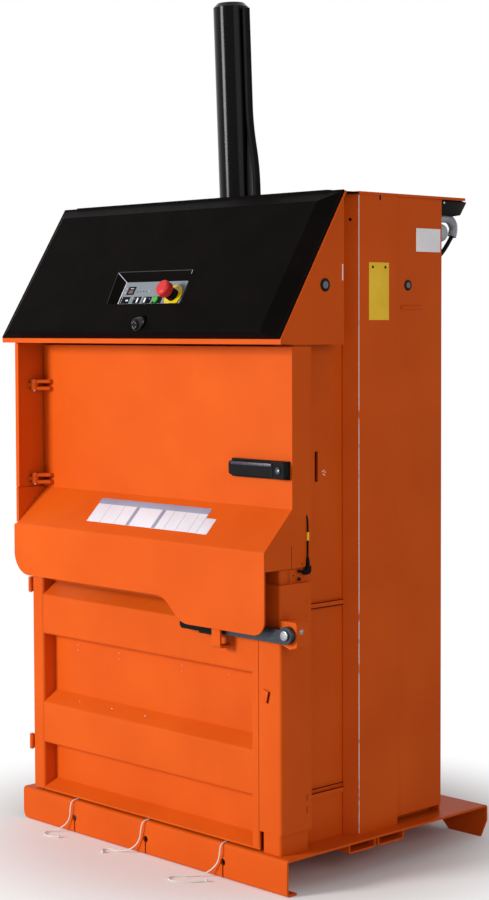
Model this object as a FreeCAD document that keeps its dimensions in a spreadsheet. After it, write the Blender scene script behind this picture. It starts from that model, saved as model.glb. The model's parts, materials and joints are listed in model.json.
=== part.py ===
import FreeCAD, Part
import math
import os
import Sketcher

# Recycling baler: a vertical press in folded sheet steel.
# The part's frame has its origin on the floor under the middle of the machine, +X to the operator's
# right when facing the front, +Y to the back and +Z up. Lengths are millimetres.

doc = FreeCAD.newDocument("recycling_baler")
sheet = doc.addObject("Spreadsheet::Sheet", "Sizes")
Vector = FreeCAD.Vector

# ---------------------------------------------------------------- sizes
# Depths named ..._setback are measured from the front line of the base plate.
SIZES = {
    # overall
    "overall_height": 1990,
    "base_width": 926,
    "base_depth": 680,
    "base_height": 80,
    "base_sheet": 5,
    "base_lip": 30,
    "bib_reach": 40,
    "keyhole_spacing": 262,
    "keyhole_radius": 8,
    "keyhole_height": 37,
    "keyhole_slit": 4.5,
    "rail_depth": 21,
    "rail_sheet": 4,
    "front_rail_setback": 200,
    "rail_width": 88,
    "rear_rail_setback": 296,
    "foot_inset": 150,
    "foot_arch": 34,
    # chamber and frame
    "floor_thickness": 10,
    "floor_setback": 56,
    "groove_back_setback": 40,
    "groove_width": 16,
    "wall_out": 395,
    "wall_sheet": 5,
    "wall_setback": 102,
    "back_setback": 548,
    "back_sheet": 4,
    "frame_top": 1516,
    "side_slot_setback": 158,
    "side_slot_width": 10,
    "side_slot_low": 881,
    "side_slot_high": 948,
    "column_out": 428,
    "column_slope_setback": 245,
    "column_face_setback": 265,
    "column_back_setback": 395,
    "column_sheet": 4,
    "panel_out": 425,
    "panel_sheet": 3,
    "panel_low": 97,
    "post_return": 40,
    "post_out": 430,
    "post_width": 56,
    "post_sheet": 4,
    "right_post_setback": 14,
    "jamb_setback": 56,
    "left_post_setback": 72,
    "sill_height": 701,
    "strap_reach": 6,
    "strap_height": 12,
    "low_strap_height": 178,
    "high_strap_height": 603,
    # head
    "head_low": 1184,
    "cheek_out": 435,
    "cheek_sheet": 5,
    "cheek_back_setback": 210,
    "hood_half": 484,
    "hood_low": 1197,
    "hood_front_reach": 36,
    "hood_back_setback": 164,
    "hood_sheet": 4,
    "hood_lip": 11,
    "hood_opening_margin": 62,
    "cover_margin": 3,
    "cover_skin": 4,
    "cover_rise": 21,
    "cover_edge": 6,
    "bevel_run": 36,
    "hood_edge_round": 10,
    "strip_half": 432,
    "strip_back_setback": 262,
    "recess_left": 120,
    "recess_right": 153,
    "recess_low": 78,
    "recess_high": 166,
    "recess_slant": 14,
    "recess_edge": 6,
    "panel_left": 84,
    "panel_sink": 12,
    "panel_tilt": 2.3,
    "panel_right": 129,
    "panel_low_up_slope": 84.5,
    "panel_length": 59,
    "panel_plate": 3,
    "header_sheet": 4,
    "header_height": 14,
    "header_setback": 50,
    "guard_low": 833,
    "guard_reach": 35,
    "guard_lip": 12,
    "guard_lip_sheet": 3,
    "top_sheet": 6,
    "top_back_setback": 632,
    "top_half": 430,
    # controls
    "stop_across": 101.0,
    "stop_up_panel": 19.8,
    "stop_head_radius": 19,
    "stop_head_length": 24,
    "stop_stem_radius": 8,
    "stop_collar_radius": 27,
    "stop_collar_height": 3,
    "stop_neck_radius": 14,
    "stop_neck_height": 14,
    "stop_travel": 5,
    "start_across": 44.9,
    "start_up_panel": 10.5,
    "start_radius": 8,
    "start_travel": 2,
    "lock_across": 44.5,
    "lock_up_slope": 21.5,
    "lock_radius": 12.5,
    "lock_reach": 17,
    "lock_depth": 20,
    "lock_stem_radius": 8,
    # hydraulics
    "cylinder_setback": 303,
    "cylinder_lean": 2.37,
    "cylinder_radius": 42,
    "cylinder_bore": 34,
    "cylinder_low": 1292,
    "cylinder_cap": 12,
    "cap_round": 10,
    "flange_radius": 68,
    "flange_thickness": 16,
    "gland_height": 38,
    "rod_radius": 18,
    "hose_radius": 9,
    "hose_bulge": 68,
    "hose_top": 1972,
    "piston_height": 40,
    "press_low": 1195,
    "press_height": 90,
    "press_plate_thickness": 10,
    "press_rib": 8,
    "press_clearance": 8,
    "press_back_clearance": 36,
    "beam_low": 1300,
    "beam_height": 80,
    "beam_setback": 236,
    "beam_depth": 128,
    "beam_sheet": 8,
    "shelf_height": 1296,
    "shelf_sheet": 5,
    "shelf_setback": 108,
    "tank_length": 240,
    "tank_depth": 104,
    "tank_height": 96,
    "motor_radius": 46,
    "motor_length": 190,
    "pump_radius": 28,
    "pump_gap": 20,
    "pump_length": 90,
    # upper door
    "door_sheet": 4,
    "door_top": 1180,
    "door_setback": 46,
    "door_left": 426,
    "door_right": 436,
    "door_hinge_out": 419,
    "door_hinge_setback": 11,
    "fold_height": 831,
    "bib_fold_height": 744,
    "bib_left": 438,
    "bib_low": 620,
    "lobe_low": 565,
    "lobe_start": 111,
    "lobe_run": 60,
    "bib_left_round": 55,
    "bib_right_round": 34,
    "lobe_round": 62,
    "flange_back_setback": 105,
    "side_flange_low": 703,
    "arm_thickness": 8,
    "arm_gap": 9,
    "arm_radius": 9,
    "arm_reach": 391,
    "upper_hinge_height": 1082,
    "lower_hinge_height": 852,
    "hinge_pin_radius": 3.5,
    "pin_fit": 0.05,
    "handle_left": 256,
    "handle_right": 430,
    "handle_low": 894,
    "handle_height": 40,
    "handle_base": 8,
    "handle_paddle": 12,
    "handle_pivot_inset": 32,
    "handle_ear": 2.5,
    "handle_pin_radius": 2.5,
    # bale door
    "bale_setback": 10,
    "panel_depth": 36,
    "bale_sheet": 4,
    "bale_low": 84.5,
    "bale_top": 608,
    "bale_lobe_top": 562,
    "bale_lobe_start": 105,
    "stile_left_out": 434,
    "stile_left_in": 391,
    "stile_right_in": 348,
    "cover_in": 366,
    "cover_out": 440,
    "cover_step": 4,
    "cover_low": 128,
    "cover_back_setback": 100,
    "post_cover_low": 566,
    "post_cover_top": 670,
    "top_beam_low": 470,
    "top_beam_high": 567,
    "top_beam_slope": 29,
    "middle_beam_low": 200,
    "middle_beam_high": 300,
    "middle_beam_slope": 28,
    "sill_rise": 24,
    "bale_hinge_out": 440,
    "bale_hinge_setback": 10,
    "knuckle_radius": 5.5,
    "knuckle_length": 18,
    "bale_pin_radius": 3,
    "low_knuckle": 178,
    "high_knuckle": 570,
    "strap_leaf": 5,
    # lock lever
    "lever_pivot_across": 473,
    "lever_pivot_height": 569,
    "lever_boss_radius": 19,
    "lever_front_reach": 14,
    "lever_thickness": 12,
    "lever_height": 30,
    "grip_height": 22,
    "lever_bolt_radius": 8,
    "bolt_head_radius": 10.5,
    "bolt_head": 4,
    "grip_left": 140,
    "grip_right": 262,
    "grip_swell": 1,
    "tang_length": 80,
    "housing_right": 495,
    "housing_low": 538,
    "housing_top": 597,
    "housing_back_setback": 36,
    "keeper_left": 258,
    "keeper_right": 285,
    "keeper_sheet": 5,
    "keeper_low": 520,
    "keeper_reach": 27,
    # small parts
    "running_gap": 0.3,
    "bend_radius": 3,
    "twine_radius": 1.5,
    "knot_radius": 4,
}


class Size:
    """A length with its value and the formula that binds it to the sheet."""

    def __init__(self, value, formula):
        self.value = float(value)
        self.formula = formula

    def join(self, other, sign, value):
        return Size(value, "(%s %s %s)" % (self.formula, sign, other.formula))

    def __add__(self, other):
        other = as_size(other)
        return self.join(other, "+", self.value + other.value)

    def __sub__(self, other):
        other = as_size(other)
        return self.join(other, "-", self.value - other.value)

    def __mul__(self, other):
        other = as_size(other)
        return self.join(other, "*", self.value * other.value)

    def __truediv__(self, other):
        other = as_size(other)
        return self.join(other, "/", self.value / other.value)

    def __neg__(self):
        return as_size(0) - self

    def __float__(self):
        return self.value

    __radd__ = __add__
    __rmul__ = __mul__


def as_size(number):
    if isinstance(number, Size):
        return number
    return Size(number, "(%r)" % float(number))


def root_of_squares(first, second):
    return Size(math.hypot(float(first), float(second)), "sqrt(%s * %s + %s * %s)" % (
        first.formula, first.formula, second.formula, second.formula))


class SheetSizes:
    """Writes the sizes into the sheet and hands each one back under its own name."""

    def __init__(self, table):
        for line, (name, value) in enumerate(table.items(), start=1):
            sheet.set("A%d" % line, name.replace("_", " "))
            sheet.set("B%d" % line, str(value))
            sheet.setAlias("B%d" % line, name)
            setattr(self, name, Size(value, "Sizes." + name))


s = SheetSizes(SIZES)
doc.recompute()

# ---------------------------------------------------------------- modelling helpers
NORMAL = {"XY": Vector(0, 0, 1), "XZ": Vector(0, 1, 0), "YZ": Vector(1, 0, 0)}
FLAT = {
    "XY": lambda point: (point.x, point.y),
    "XZ": lambda point: (point.x, point.z),
    "YZ": lambda point: (point.y, point.z),
}
parts = []


def new_body(label):
    body = doc.addObject("PartDesign::Body", label)
    body.Label = label
    parts.append(body)
    return body


def bind(thing, name, size):
    thing.setExpression(name, as_size(size).formula)


def new_sketch(body, view, start):
    """A sketch parallel to one origin plane, at the given distance along its axis."""
    planes = [item for item in body.Origin.OriginFeatures if item.Role == view + "_Plane"]
    sketch = body.newObject("Sketcher::SketchObject", body.Label + "_sketch")
    sketch.AttachmentSupport = [(planes[0], "")]
    sketch.MapMode = "FlatFace"
    start = as_size(start)
    bind(sketch, "AttachmentOffset.Base.z", -start if view == "XZ" else start)
    return sketch


def pin_point(sketch, index, place, corner):
    for kind, size in (("DistanceX", corner[0]), ("DistanceY", corner[1])):
        size = as_size(size)
        number = sketch.addConstraint(Sketcher.Constraint(kind, -1, 1, index, place, size.value))
        bind(sketch, "Constraints[%d]" % number, size)


def draw_loop(sketch, corners):
    first = len(sketch.Geometry)
    count = len(corners)
    points = [Vector(float(across), float(up), 0) for across, up in corners]
    for index in range(count):
        sketch.addGeometry(Part.LineSegment(points[index], points[(index + 1) % count]), False)
    for index in range(count):
        following = first + (index + 1) % count
        sketch.addConstraint(Sketcher.Constraint("Coincident", first + index, 2, following, 1))
    return first


def outline(body, view, corners, start):
    """A closed outline whose every corner is bound to the sheet."""
    sketch = new_sketch(body, view, start)
    first = draw_loop(sketch, corners)
    for index, corner in enumerate(corners):
        pin_point(sketch, first + index, 1, corner)
    return sketch


def ring(body, view, centre, radius, start, hole=None):
    sketch = new_sketch(body, view, start)
    for index, size in enumerate([radius] if hole is None else [radius, hole]):
        size = as_size(size)
        middle = Vector(float(centre[0]), float(centre[1]), 0)
        sketch.addGeometry(Part.Circle(middle, Vector(0, 0, 1), size.value), False)
        pin_point(sketch, index, 3, centre)
        number = sketch.addConstraint(Sketcher.Constraint("Radius", index, size.value))
        bind(sketch, "Constraints[%d]" % number, size)
    return sketch


def offset_points(line, thickness):
    """Where the second side of a folded sheet lies, to its left as the line is drawn."""
    points = [(float(across), float(up)) for across, up in line]
    normals = []
    for (left, low), (right, high) in zip(points, points[1:]):
        length = math.hypot(right - left, high - low)
        normals.append((-(high - low) / length, (right - left) / length))
    ends = [normals[0]] + normals + [normals[-1]]
    moved = []
    for point, before, after in zip(points, ends, ends[1:]):
        share = 1 + before[0] * after[0] + before[1] * after[1]
        reach = float(thickness) / share
        moved.append((point[0] + reach * (before[0] + after[0]),
                      point[1] + reach * (before[1] + after[1])))
    return moved


def folded_line(body, view, line, thickness, start):
    """The section of a folded sheet: a bound line and a second side parallel to it."""
    sketch = new_sketch(body, view, start)
    second = offset_points(line, thickness)
    loop = [(float(across), float(up)) for across, up in line] + second[::-1]
    draw_loop(sketch, loop)
    count = len(line)
    for index, corner in enumerate(line):
        pin_point(sketch, index, 1, corner)
    for index in range(count - 1):
        opposite = 2 * count - 2 - index
        sketch.addConstraint(Sketcher.Constraint("Parallel", opposite, index))
        number = sketch.addConstraint(
            Sketcher.Constraint("Distance", opposite, 1, index, float(thickness)))
        bind(sketch, "Constraints[%d]" % number, thickness)
    sketch.addConstraint(Sketcher.Constraint("Perpendicular", count - 1, count - 2))
    sketch.addConstraint(Sketcher.Constraint("Perpendicular", 2 * count - 1, 0))
    return sketch, second


def extrude(body, kind, sketch, start, end, forward):
    feature = body.newObject("PartDesign::" + kind, body.Label + "_" + kind.lower())
    feature.Profile = sketch
    feature.Reversed = forward
    bind(feature, "Length", as_size(end) - as_size(start))
    sketch.Visibility = False
    return feature


def pad(body, view, sketch, start, end):
    """Adds the outline from start to end along the view's axis."""
    return extrude(body, "Pad", sketch, start, end, view == "XZ")


def pocket(body, view, sketch, start, end):
    """Cuts the outline away from start to end along the view's axis."""
    doc.recompute()
    before = body.Shape.Volume
    feature = extrude(body, "Pocket", sketch, start, end, view != "XZ")
    doc.recompute()
    if not body.Shape.Volume < before - 1e-6:
        raise RuntimeError("a cut in %s removes nothing" % body.Label)
    return feature


def slab(body, view, corners, start, end):
    return pad(body, view, outline(body, view, corners, start), start, end)


def cut_slab(body, view, corners, start, end):
    return pocket(body, view, outline(body, view, corners, start), start, end)


def disc(body, view, centre, radius, start, end, hole=None):
    return pad(body, view, ring(body, view, centre, radius, start, hole), start, end)


def cut_disc(body, view, centre, radius, start, end):
    return pocket(body, view, ring(body, view, centre, radius, start), start, end)


def box(low, high):
    return [(low[0], low[1]), (high[0], low[1]), (high[0], high[1]), (low[0], high[1])]


def rounded_corner(corner, radius, across, up, steps=5):
    """The waste outside a rounded corner: across and up give the side that the sheet lies on."""
    waste = [corner]
    for step in range(steps + 1):
        angle = math.pi / 2 * step / steps
        waste.append((corner[0] + radius * (across * (1 - math.sin(angle))),
                      corner[1] + radius * (up * (1 - math.cos(angle)))))
    return waste


def edges_along(shape, view, places):
    """Names of the straight edges that run along the view's axis through the given places."""
    names = []
    for number, edge in enumerate(shape.Edges, start=1):
        if edge.Curve.TypeId != "Part::GeomLine" or abs(edge.Curve.Direction * NORMAL[view]) < 0.999:
            continue
        found = FLAT[view](edge.Vertexes[0].Point)
        for place in places:
            if math.hypot(found[0] - float(place[0]), found[1] - float(place[1])) < 0.01:
                names.append("Edge%d" % number)
                break
    return names


def round_edges(body, view, places, radius, kind="Fillet"):
    """Rounds or bevels the edges that run along the view's axis through the places."""
    doc.recompute()
    base = body.Tip
    names = edges_along(body.Tip.Shape, view, places)
    if not names:
        raise RuntimeError("no edges to round in %s" % body.Label)
    feature = body.newObject("PartDesign::" + kind, body.Label + "_" + kind.lower())
    feature.Base = (base, names)
    bind(feature, "Radius" if kind == "Fillet" else "Size", radius)
    doc.recompute()
    return feature


def folded(body, view, line, thickness, start, end, radius=None):
    """A folded sheet along the view's axis, with its bends rounded."""
    sketch, second = folded_line(body, view, line, thickness, start)
    pad(body, view, sketch, start, end)
    if radius is None:
        return
    inner = []
    outer = []
    for index in range(1, len(line) - 1):
        before, here, after = [(float(point[0]), float(point[1])) for point in line[index - 1:index + 2]]
        turn = ((here[0] - before[0]) * (after[1] - here[1])
                - (here[1] - before[1]) * (after[0] - here[0]))
        inner.append(second[index] if turn > 0 else here)
        outer.append(here if turn > 0 else second[index])
    round_edges(body, view, inner, radius)
    round_edges(body, view, outer, as_size(radius) + thickness)


def sided(side, low, high):
    """An X range on the right side, or its mirror on the left."""
    return (low, high) if side > 0 else (-as_size(high), -as_size(low))


SIDES = (("left", -1), ("right", 1))

# ---------------------------------------------------------------- shared places
front = -(s.base_depth - s.bib_reach) / 2


def back_from_front(setback):
    return front + setback


cylinder_y = back_from_front(s.cylinder_setback)
wall_in = s.wall_out - s.wall_sheet
wall_front = back_from_front(s.wall_setback)
back_front = back_from_front(s.back_setback)
back_rear = back_front + s.back_sheet

# The hood's slope: its foot, its length and its angle.
hood_front = front - s.hood_front_reach
hood_run = s.hood_back_setback + s.hood_front_reach
hood_climb = s.frame_top - s.hood_low
hood_length = root_of_squares(hood_run, hood_climb)
hood_angle = math.degrees(math.atan2(float(hood_climb), float(hood_run)))


def up_slope(y, z):
    """Turns a place in the side view into one measured up the hood and out of it."""
    dy = as_size(y) - hood_front
    dz = as_size(z) - s.hood_low
    along = (dy * hood_run + dz * hood_climb) / hood_length
    out = (dz * hood_run - dy * hood_climb) / hood_length
    return along, out


def on_hood(along, out):
    """Turns a place measured up the hood and out of it into one in the side view."""
    y = hood_front + (as_size(along) * hood_run - as_size(out) * hood_climb) / hood_length
    z = s.hood_low + (as_size(along) * hood_climb + as_size(out) * hood_run) / hood_length
    return y, z


def lay_on_hood(body):
    """Stands a body on the slope: its Y runs up the hood and its Z points out of it."""
    turn = FreeCAD.Rotation(Vector(1, 0, 0), hood_angle)
    body.Placement = FreeCAD.Placement(Vector(0, float(hood_front), float(s.hood_low)), turn)


panel_angle = hood_angle + float(s.panel_tilt)


def on_panel(along):
    """Turns a place measured up the control panel into one in the side view."""
    y, z = on_hood(s.panel_low_up_slope, s.cover_skin + s.cover_rise - s.panel_sink)
    turn = math.radians(panel_angle)
    return y + along * math.cos(turn), z + along * math.sin(turn)


def lay_on_panel(body):
    """Stands a body on the panel, which is steeper than the hood: Y up it, Z out of it."""
    y, z = on_panel(as_size(0))
    turn = FreeCAD.Rotation(Vector(1, 0, 0), panel_angle)
    body.Placement = FreeCAD.Placement(Vector(0, float(y), float(z)), turn)


def panel_corners():
    left = -s.panel_left
    right = s.panel_right
    return box((left, as_size(0)), (right, s.panel_length))


# The cylinder leans forwards by this, and what is in line with it leans too.
lean_turn = math.radians(float(s.cylinder_lean))


def lean(body, drawn_at):
    """Tilts a body with the cylinder, about the point where its axis leaves the frame."""
    body.setExpression("Placement.Base.x", None)
    body.setExpression("Placement.Base.y", None)
    turn = FreeCAD.Rotation(Vector(1, 0, 0), float(s.cylinder_lean))
    pivot = Vector(0, float(cylinder_y), float(s.frame_top))
    drawn = Vector(0, float(drawn_at), float(s.frame_top))
    body.Placement = FreeCAD.Placement(pivot - turn.multVec(drawn), turn)


# ---------------------------------------------------------------- base
def base_plate():
    body = new_body("base_plate")
    half = s.base_width / 2
    rear = back_from_front(s.base_depth)
    section = [(front + s.base_lip, 0), (front, 0), (front, s.base_height), (rear, s.base_height), (rear, 0)]
    folded(body, "YZ", section[::-1], s.base_sheet, -half, half, s.bend_radius)
    # the rear flange stands on a foot at each end
    foot = half - s.foot_inset
    arch = [(-foot - s.foot_arch, 0), (foot + s.foot_arch, 0), (foot, s.foot_arch), (-foot, s.foot_arch)]
    cut_slab(body, "XZ", arch, rear - s.base_sheet * 2, rear)
    for side in (-1, 1):
        corner = [(side * half, 0), (side * (half - 18), 0), (side * half, s.foot_arch + 8)]
        cut_slab(body, "XZ", corner, rear - s.base_sheet * 2, rear)
    # keyhole slots for the twines
    slot = s.keyhole_slit / 2
    for place in (-s.keyhole_spacing, as_size(0), s.keyhole_spacing):
        middle = (place, s.keyhole_height)
        cut_disc(body, "XZ", middle, s.keyhole_radius, front, front + s.base_lip)
        slit = box((place - slot, 0), (place + slot, s.keyhole_height))
        cut_slab(body, "XZ", slit, front, front + s.base_lip)
    corner = rounded_corner((-half, as_size(0)), s.base_lip * 0.7, 1, 1)
    cut_slab(body, "XZ", corner, front, front + s.base_lip)


def base_rails():
    body = doc.addObject("Part::MultiFuse", "base_rails")
    shells = []
    half = s.base_width / 2 - s.base_sheet
    top = s.base_height - s.base_sheet
    for name, setback in (("front", s.front_rail_setback), ("rear", s.rear_rail_setback)):
        rail = doc.addObject("PartDesign::Body", name + "_rail_piece")
        start = back_from_front(setback)
        section = [(start, top), (start, top - s.rail_depth),
                   (start + s.rail_width, top - s.rail_depth), (start + s.rail_width, top)]
        folded(rail, "YZ", section, s.rail_sheet, -half, half, s.bend_radius)
        shells.append(rail)
    body.Shapes = shells
    body.Label = "base_rails"
    parts.append(body)


def chamber_floor():
    body = new_body("chamber_floor")
    half = wall_in - 2
    start = back_from_front(s.floor_setback)
    low = s.base_height
    high = s.base_height + s.floor_thickness
    slab(body, "XY", box((-half, start), (half, back_front - 1)), low, high)
    # its front corners stop inside the posts
    inside = s.post_out - s.post_width - s.post_sheet - 1
    for side in (-1, 1):
        inner, outer = sided(side, inside, half)
        cut_slab(body, "XY", box((inner, start), (outer, wall_front)), low, high)
    groove_end = back_front - s.groove_back_setback
    groove_half = s.groove_width / 2
    for place in (-s.keyhole_spacing, as_size(0), s.keyhole_spacing):
        groove = box((place - groove_half, start), (place + groove_half, groove_end))
        cut_slab(body, "XY", groove, low, high)


# ---------------------------------------------------------------- frame
def side_walls():
    # the front edge is cut back under the hood's slope
    foot = on_hood(0, -s.hood_sheet * 3)
    steepness = hood_climb / hood_run
    cut_low = foot[1] + (wall_front - foot[0]) * steepness
    cut_back = foot[0] + (s.frame_top - foot[1]) / steepness
    sheet_outline = [(wall_front, s.base_height), (back_front, s.base_height), (back_front, s.frame_top),
                     (cut_back, s.frame_top), (wall_front, cut_low)]
    for name, side in SIDES:
        body = new_body("side_wall_" + name)
        start, end = sided(side, wall_in, s.wall_out)
        slab(body, "YZ", sheet_outline, start, end)
        if side > 0:
            slot_front = back_from_front(s.side_slot_setback)
            slot = box((slot_front, s.side_slot_low), (slot_front + s.side_slot_width, s.side_slot_high))
            cut_slab(body, "YZ", slot, start, end)


def columns():
    for name, side in SIDES:
        body = new_body("column_" + name)
        line = [(side * s.wall_out, back_from_front(s.column_slope_setback)),
                (side * s.column_out, back_from_front(s.column_face_setback)),
                (side * s.column_out, back_from_front(s.column_back_setback)),
                (side * s.wall_out, back_from_front(s.column_back_setback))]
        if side < 0:
            line = line[::-1]
        folded(body, "XY", line, s.column_sheet, s.base_height, s.frame_top, s.bend_radius)
        # trims the slanted strip flush with the side wall's face
        inside = sided(side, s.wall_out - 6, s.wall_out)
        trim = box((inside[0], back_from_front(s.column_slope_setback) - 10),
                   (inside[1], back_from_front(s.column_back_setback) + 10))
        cut_slab(body, "XY", trim, s.base_height, s.frame_top)


def rear_panels():
    for name, side in SIDES:
        body = new_body("rear_panel_" + name)
        start = back_from_front(s.column_back_setback)
        line = [(side * (s.wall_out + 3), start), (side * s.panel_out, start), (side * s.panel_out, back_rear)]
        if side < 0:
            line = line[::-1]
        folded(body, "XY", line, s.panel_sheet, s.panel_low, s.frame_top, s.bend_radius)


def back_panel():
    body = new_body("back_panel")
    half = s.panel_out - s.panel_sheet
    slab(body, "XZ", box((-half, s.base_height), (half, s.frame_top)), back_front, back_rear)


def front_posts():
    post_in = s.post_out - s.post_width
    body = new_body("front_post_right")
    shallow = back_from_front(s.right_post_setback)
    line = [(post_in, wall_front - s.post_return), (post_in, shallow), (s.post_out, shallow),
            (s.post_out, wall_front), (s.wall_out + 1, wall_front)]
    folded(body, "XY", line, s.post_sheet, s.base_height, s.sill_height, s.bend_radius)
    jamb = back_from_front(s.jamb_setback)
    line[0] = (post_in, wall_front - 10)
    line[1] = (post_in, jamb)
    line[2] = (s.post_out, jamb)
    folded(body, "XY", line, s.post_sheet, s.sill_height, s.head_low)
    body = new_body("front_post_left")
    jamb = back_from_front(s.left_post_setback)
    line = [(-s.wall_out - 1, wall_front), (-s.post_out, wall_front), (-s.post_out, jamb),
            (-post_in, jamb), (-post_in, wall_front - 10)]
    folded(body, "XY", line, s.post_sheet, s.base_height, s.head_low, s.bend_radius)


def post_cover():
    """The short fixed cover over the right post, above the bale door's own cover."""
    body = new_body("post_cover")
    out = s.cover_out - s.running_gap * 2
    face = back_from_front(s.bale_setback - s.cover_step)
    rear = back_from_front(s.cover_back_setback)
    line = [(s.cover_in, face), (out, face), (out, rear)]
    folded(body, "XY", line, s.bale_sheet, s.post_cover_low, s.post_cover_top, s.bend_radius)
    # the top edge is folded in to the post
    shelf_low = s.post_cover_top - s.bale_sheet
    post_front = back_from_front(s.right_post_setback)
    slab(body, "XY", box((s.cover_in + 8, face + 2), (out - 2, post_front)), shelf_low, s.post_cover_top)
    slab(body, "XY", box((s.post_out, face + 2), (out - 2, rear)), shelf_low, s.post_cover_top)


def wall_straps():
    """Flat straps that tie side wall to column, two on each side."""
    body = doc.addObject("Part::MultiFuse", "wall_straps")
    pieces = []
    for name, side in SIDES:
        for level, height in (("low", s.low_strap_height), ("high", s.high_strap_height)):
            strap = doc.addObject("PartDesign::Body", "strap_%s_%s" % (name, level))
            start, end = sided(side, s.wall_out, s.wall_out + s.strap_reach)
            side_outline = box((wall_front, height),
                               (back_from_front(s.column_slope_setback) - 1, height + s.strap_height))
            slab(strap, "YZ", side_outline, start, end)
            pieces.append(strap)
    body.Shapes = pieces
    body.Label = "wall_straps"
    parts.append(body)


# ---------------------------------------------------------------- head
def cheeks():
    foot = on_hood(0, -s.hood_sheet)
    top = on_hood(hood_length, -s.hood_sheet)
    rear = back_from_front(s.cheek_back_setback)
    step = back_from_front(s.header_setback)
    side_outline = [foot, (step, s.head_low), (rear, s.head_low), (rear, s.frame_top),
                    (top[0] + 4, s.frame_top), top]
    for name, side in SIDES:
        body = new_body("cheek_" + name)
        start, end = sided(side, s.cheek_out - s.cheek_sheet, s.cheek_out)
        slab(body, "YZ", side_outline, start, end)
        inner, outer = sided(side, s.wall_out, s.cheek_out - s.cheek_sheet)
        flange = box((inner, s.head_low), (outer, s.frame_top))
        slab(body, "XZ", flange, rear - s.cheek_sheet, rear)


def hood_rim():
    """The steel plate under the hood, open in the middle, with its lip along the foot."""
    body = new_body("hood_rim")
    slab(body, "XY", box((-s.hood_half, 0), (s.hood_half, hood_length)), -s.hood_sheet, 0)
    margin = s.hood_opening_margin
    opening = box((-s.hood_half + margin, margin / 2), (s.hood_half - margin, hood_length - margin / 2))
    cut_slab(body, "XY", opening, -s.hood_sheet, 0)
    lip = [up_slope(hood_front, s.hood_low), up_slope(hood_front, s.hood_low - s.hood_lip),
           up_slope(hood_front + s.hood_sheet, s.hood_low - s.hood_lip),
           up_slope(hood_front + s.hood_sheet, s.hood_low + s.hood_sheet)]
    slab(body, "YZ", lip, -s.hood_half, s.hood_half)
    lay_on_hood(body)


def recess_corners(spread):
    left = -s.recess_left - spread
    right = s.recess_right + spread
    slant = s.recess_slant
    return [(left + slant, s.recess_low - spread), (right, s.recess_low - spread),
            (right - slant, s.recess_high + spread), (left, s.recess_high + spread)]


def hood_cover():
    """The moulded cover: a skin with a raised, bevelled middle and a recess for the controls."""
    body = new_body("hood_cover")
    half = s.hood_half - s.cover_margin
    slab(body, "XY", box((-half, 0), (half, hood_length)), 0, s.cover_skin)
    taper = math.degrees(math.atan2(float(s.bevel_run), float(s.cover_rise)))
    edge = s.cover_edge
    raised = box((-half + edge, -s.bevel_run), (half - edge, hood_length - edge))
    lift = pad(body, "XY", outline(body, "XY", raised, s.cover_skin), s.cover_skin,
               s.cover_skin + s.cover_rise)
    lift.TaperAngle = -taper
    doc.recompute()
    # the bottom edge is full height and rounded
    face = s.cover_skin + s.cover_rise
    below = box((-half - 1, -s.bevel_run - edge), (half + 1, as_size(0)))
    cut_slab(body, "XY", below, as_size(0), face + 1)
    round_edges(body, "YZ", [(as_size(0), face)], s.hood_edge_round)
    # the top strip runs back over the head
    strip_back = back_from_front(s.strip_back_setback)
    slope_top = back_from_front(s.hood_back_setback)
    strip = [up_slope(slope_top - s.cover_skin, s.frame_top), up_slope(strip_back, s.frame_top),
             up_slope(strip_back, s.frame_top + s.cover_skin),
             up_slope(slope_top - s.cover_skin, s.frame_top + s.cover_skin)]
    slab(body, "YZ", strip, -s.strip_half, s.strip_half)
    # hollow behind the raised middle
    wall = edge + s.cover_skin * 1.5
    hollow = box((-half + wall, wall), (half - wall, hood_length - wall))
    scoop = pocket(body, "XY", outline(body, "XY", hollow, 0), 0, s.cover_rise)
    scoop.TaperAngle = -taper
    doc.recompute()
    hollow = box((-half + wall + s.bevel_run, edge), (half - wall - s.bevel_run, edge + s.bevel_run * 2))
    cut_slab(body, "XY", hollow, as_size(0), s.cover_rise)
    # the backing of the recess for the controls
    slab(body, "XY", recess_corners(s.recess_edge), -s.cover_skin / 2, s.cover_skin + s.cover_rise - 1)
    lay_on_hood(body)
    return body


def cut_cover(tool):
    """Takes a tool's shape out of the finished cover."""
    cover = [item for item in parts if item.Label == "hood_cover"][0]
    doc.recompute()
    cut = doc.addObject("Part::Cut", "cover_less_" + tool.Name)
    cut.Base = cover
    cut.Tool = tool
    cover.Label = "cover_before_" + tool.Name
    cut.Label = "hood_cover"
    parts.remove(cover)
    parts.append(cut)


def strip_notch():
    """The half round that lets the cylinder pass the cover's top strip."""
    tool = doc.addObject("Part::Cylinder", "strip_notch")
    bind(tool, "Radius", s.cylinder_radius + 4)
    bind(tool, "Height", as_size(60))
    bind(tool, "Placement.Base.y", cylinder_y)
    bind(tool, "Placement.Base.z", s.frame_top - 20)
    cut_cover(tool)


def control_recess():
    """The tub for the panel: from the panel's outline its walls open outwards to the hood's face."""
    tool = doc.addObject("Part::Feature", "recess_tool")
    turn = FreeCAD.Rotation(Vector(1, 0, 0), panel_angle)
    y, z = on_panel(as_size(0))
    start = Vector(0, float(y), float(z))
    floor = [start + turn.multVec(Vector(float(across), float(along), -float(s.panel_plate)))
             for across, along in panel_corners()]
    face = float(s.cover_skin + s.cover_rise)
    rims = []
    for out in (face, face + 5):
        rim = [(across, on_hood(along, as_size(out))) for across, along in recess_corners(as_size(0))]
        rims.append([Vector(float(across), float(y), float(z)) for across, (y, z) in rim])
    wires = [Part.makePolygon(corners + corners[:1]) for corners in [floor] + rims]
    tool.Shape = Part.makeLoft(wires, True, True)
    cut_cover(tool)


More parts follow.
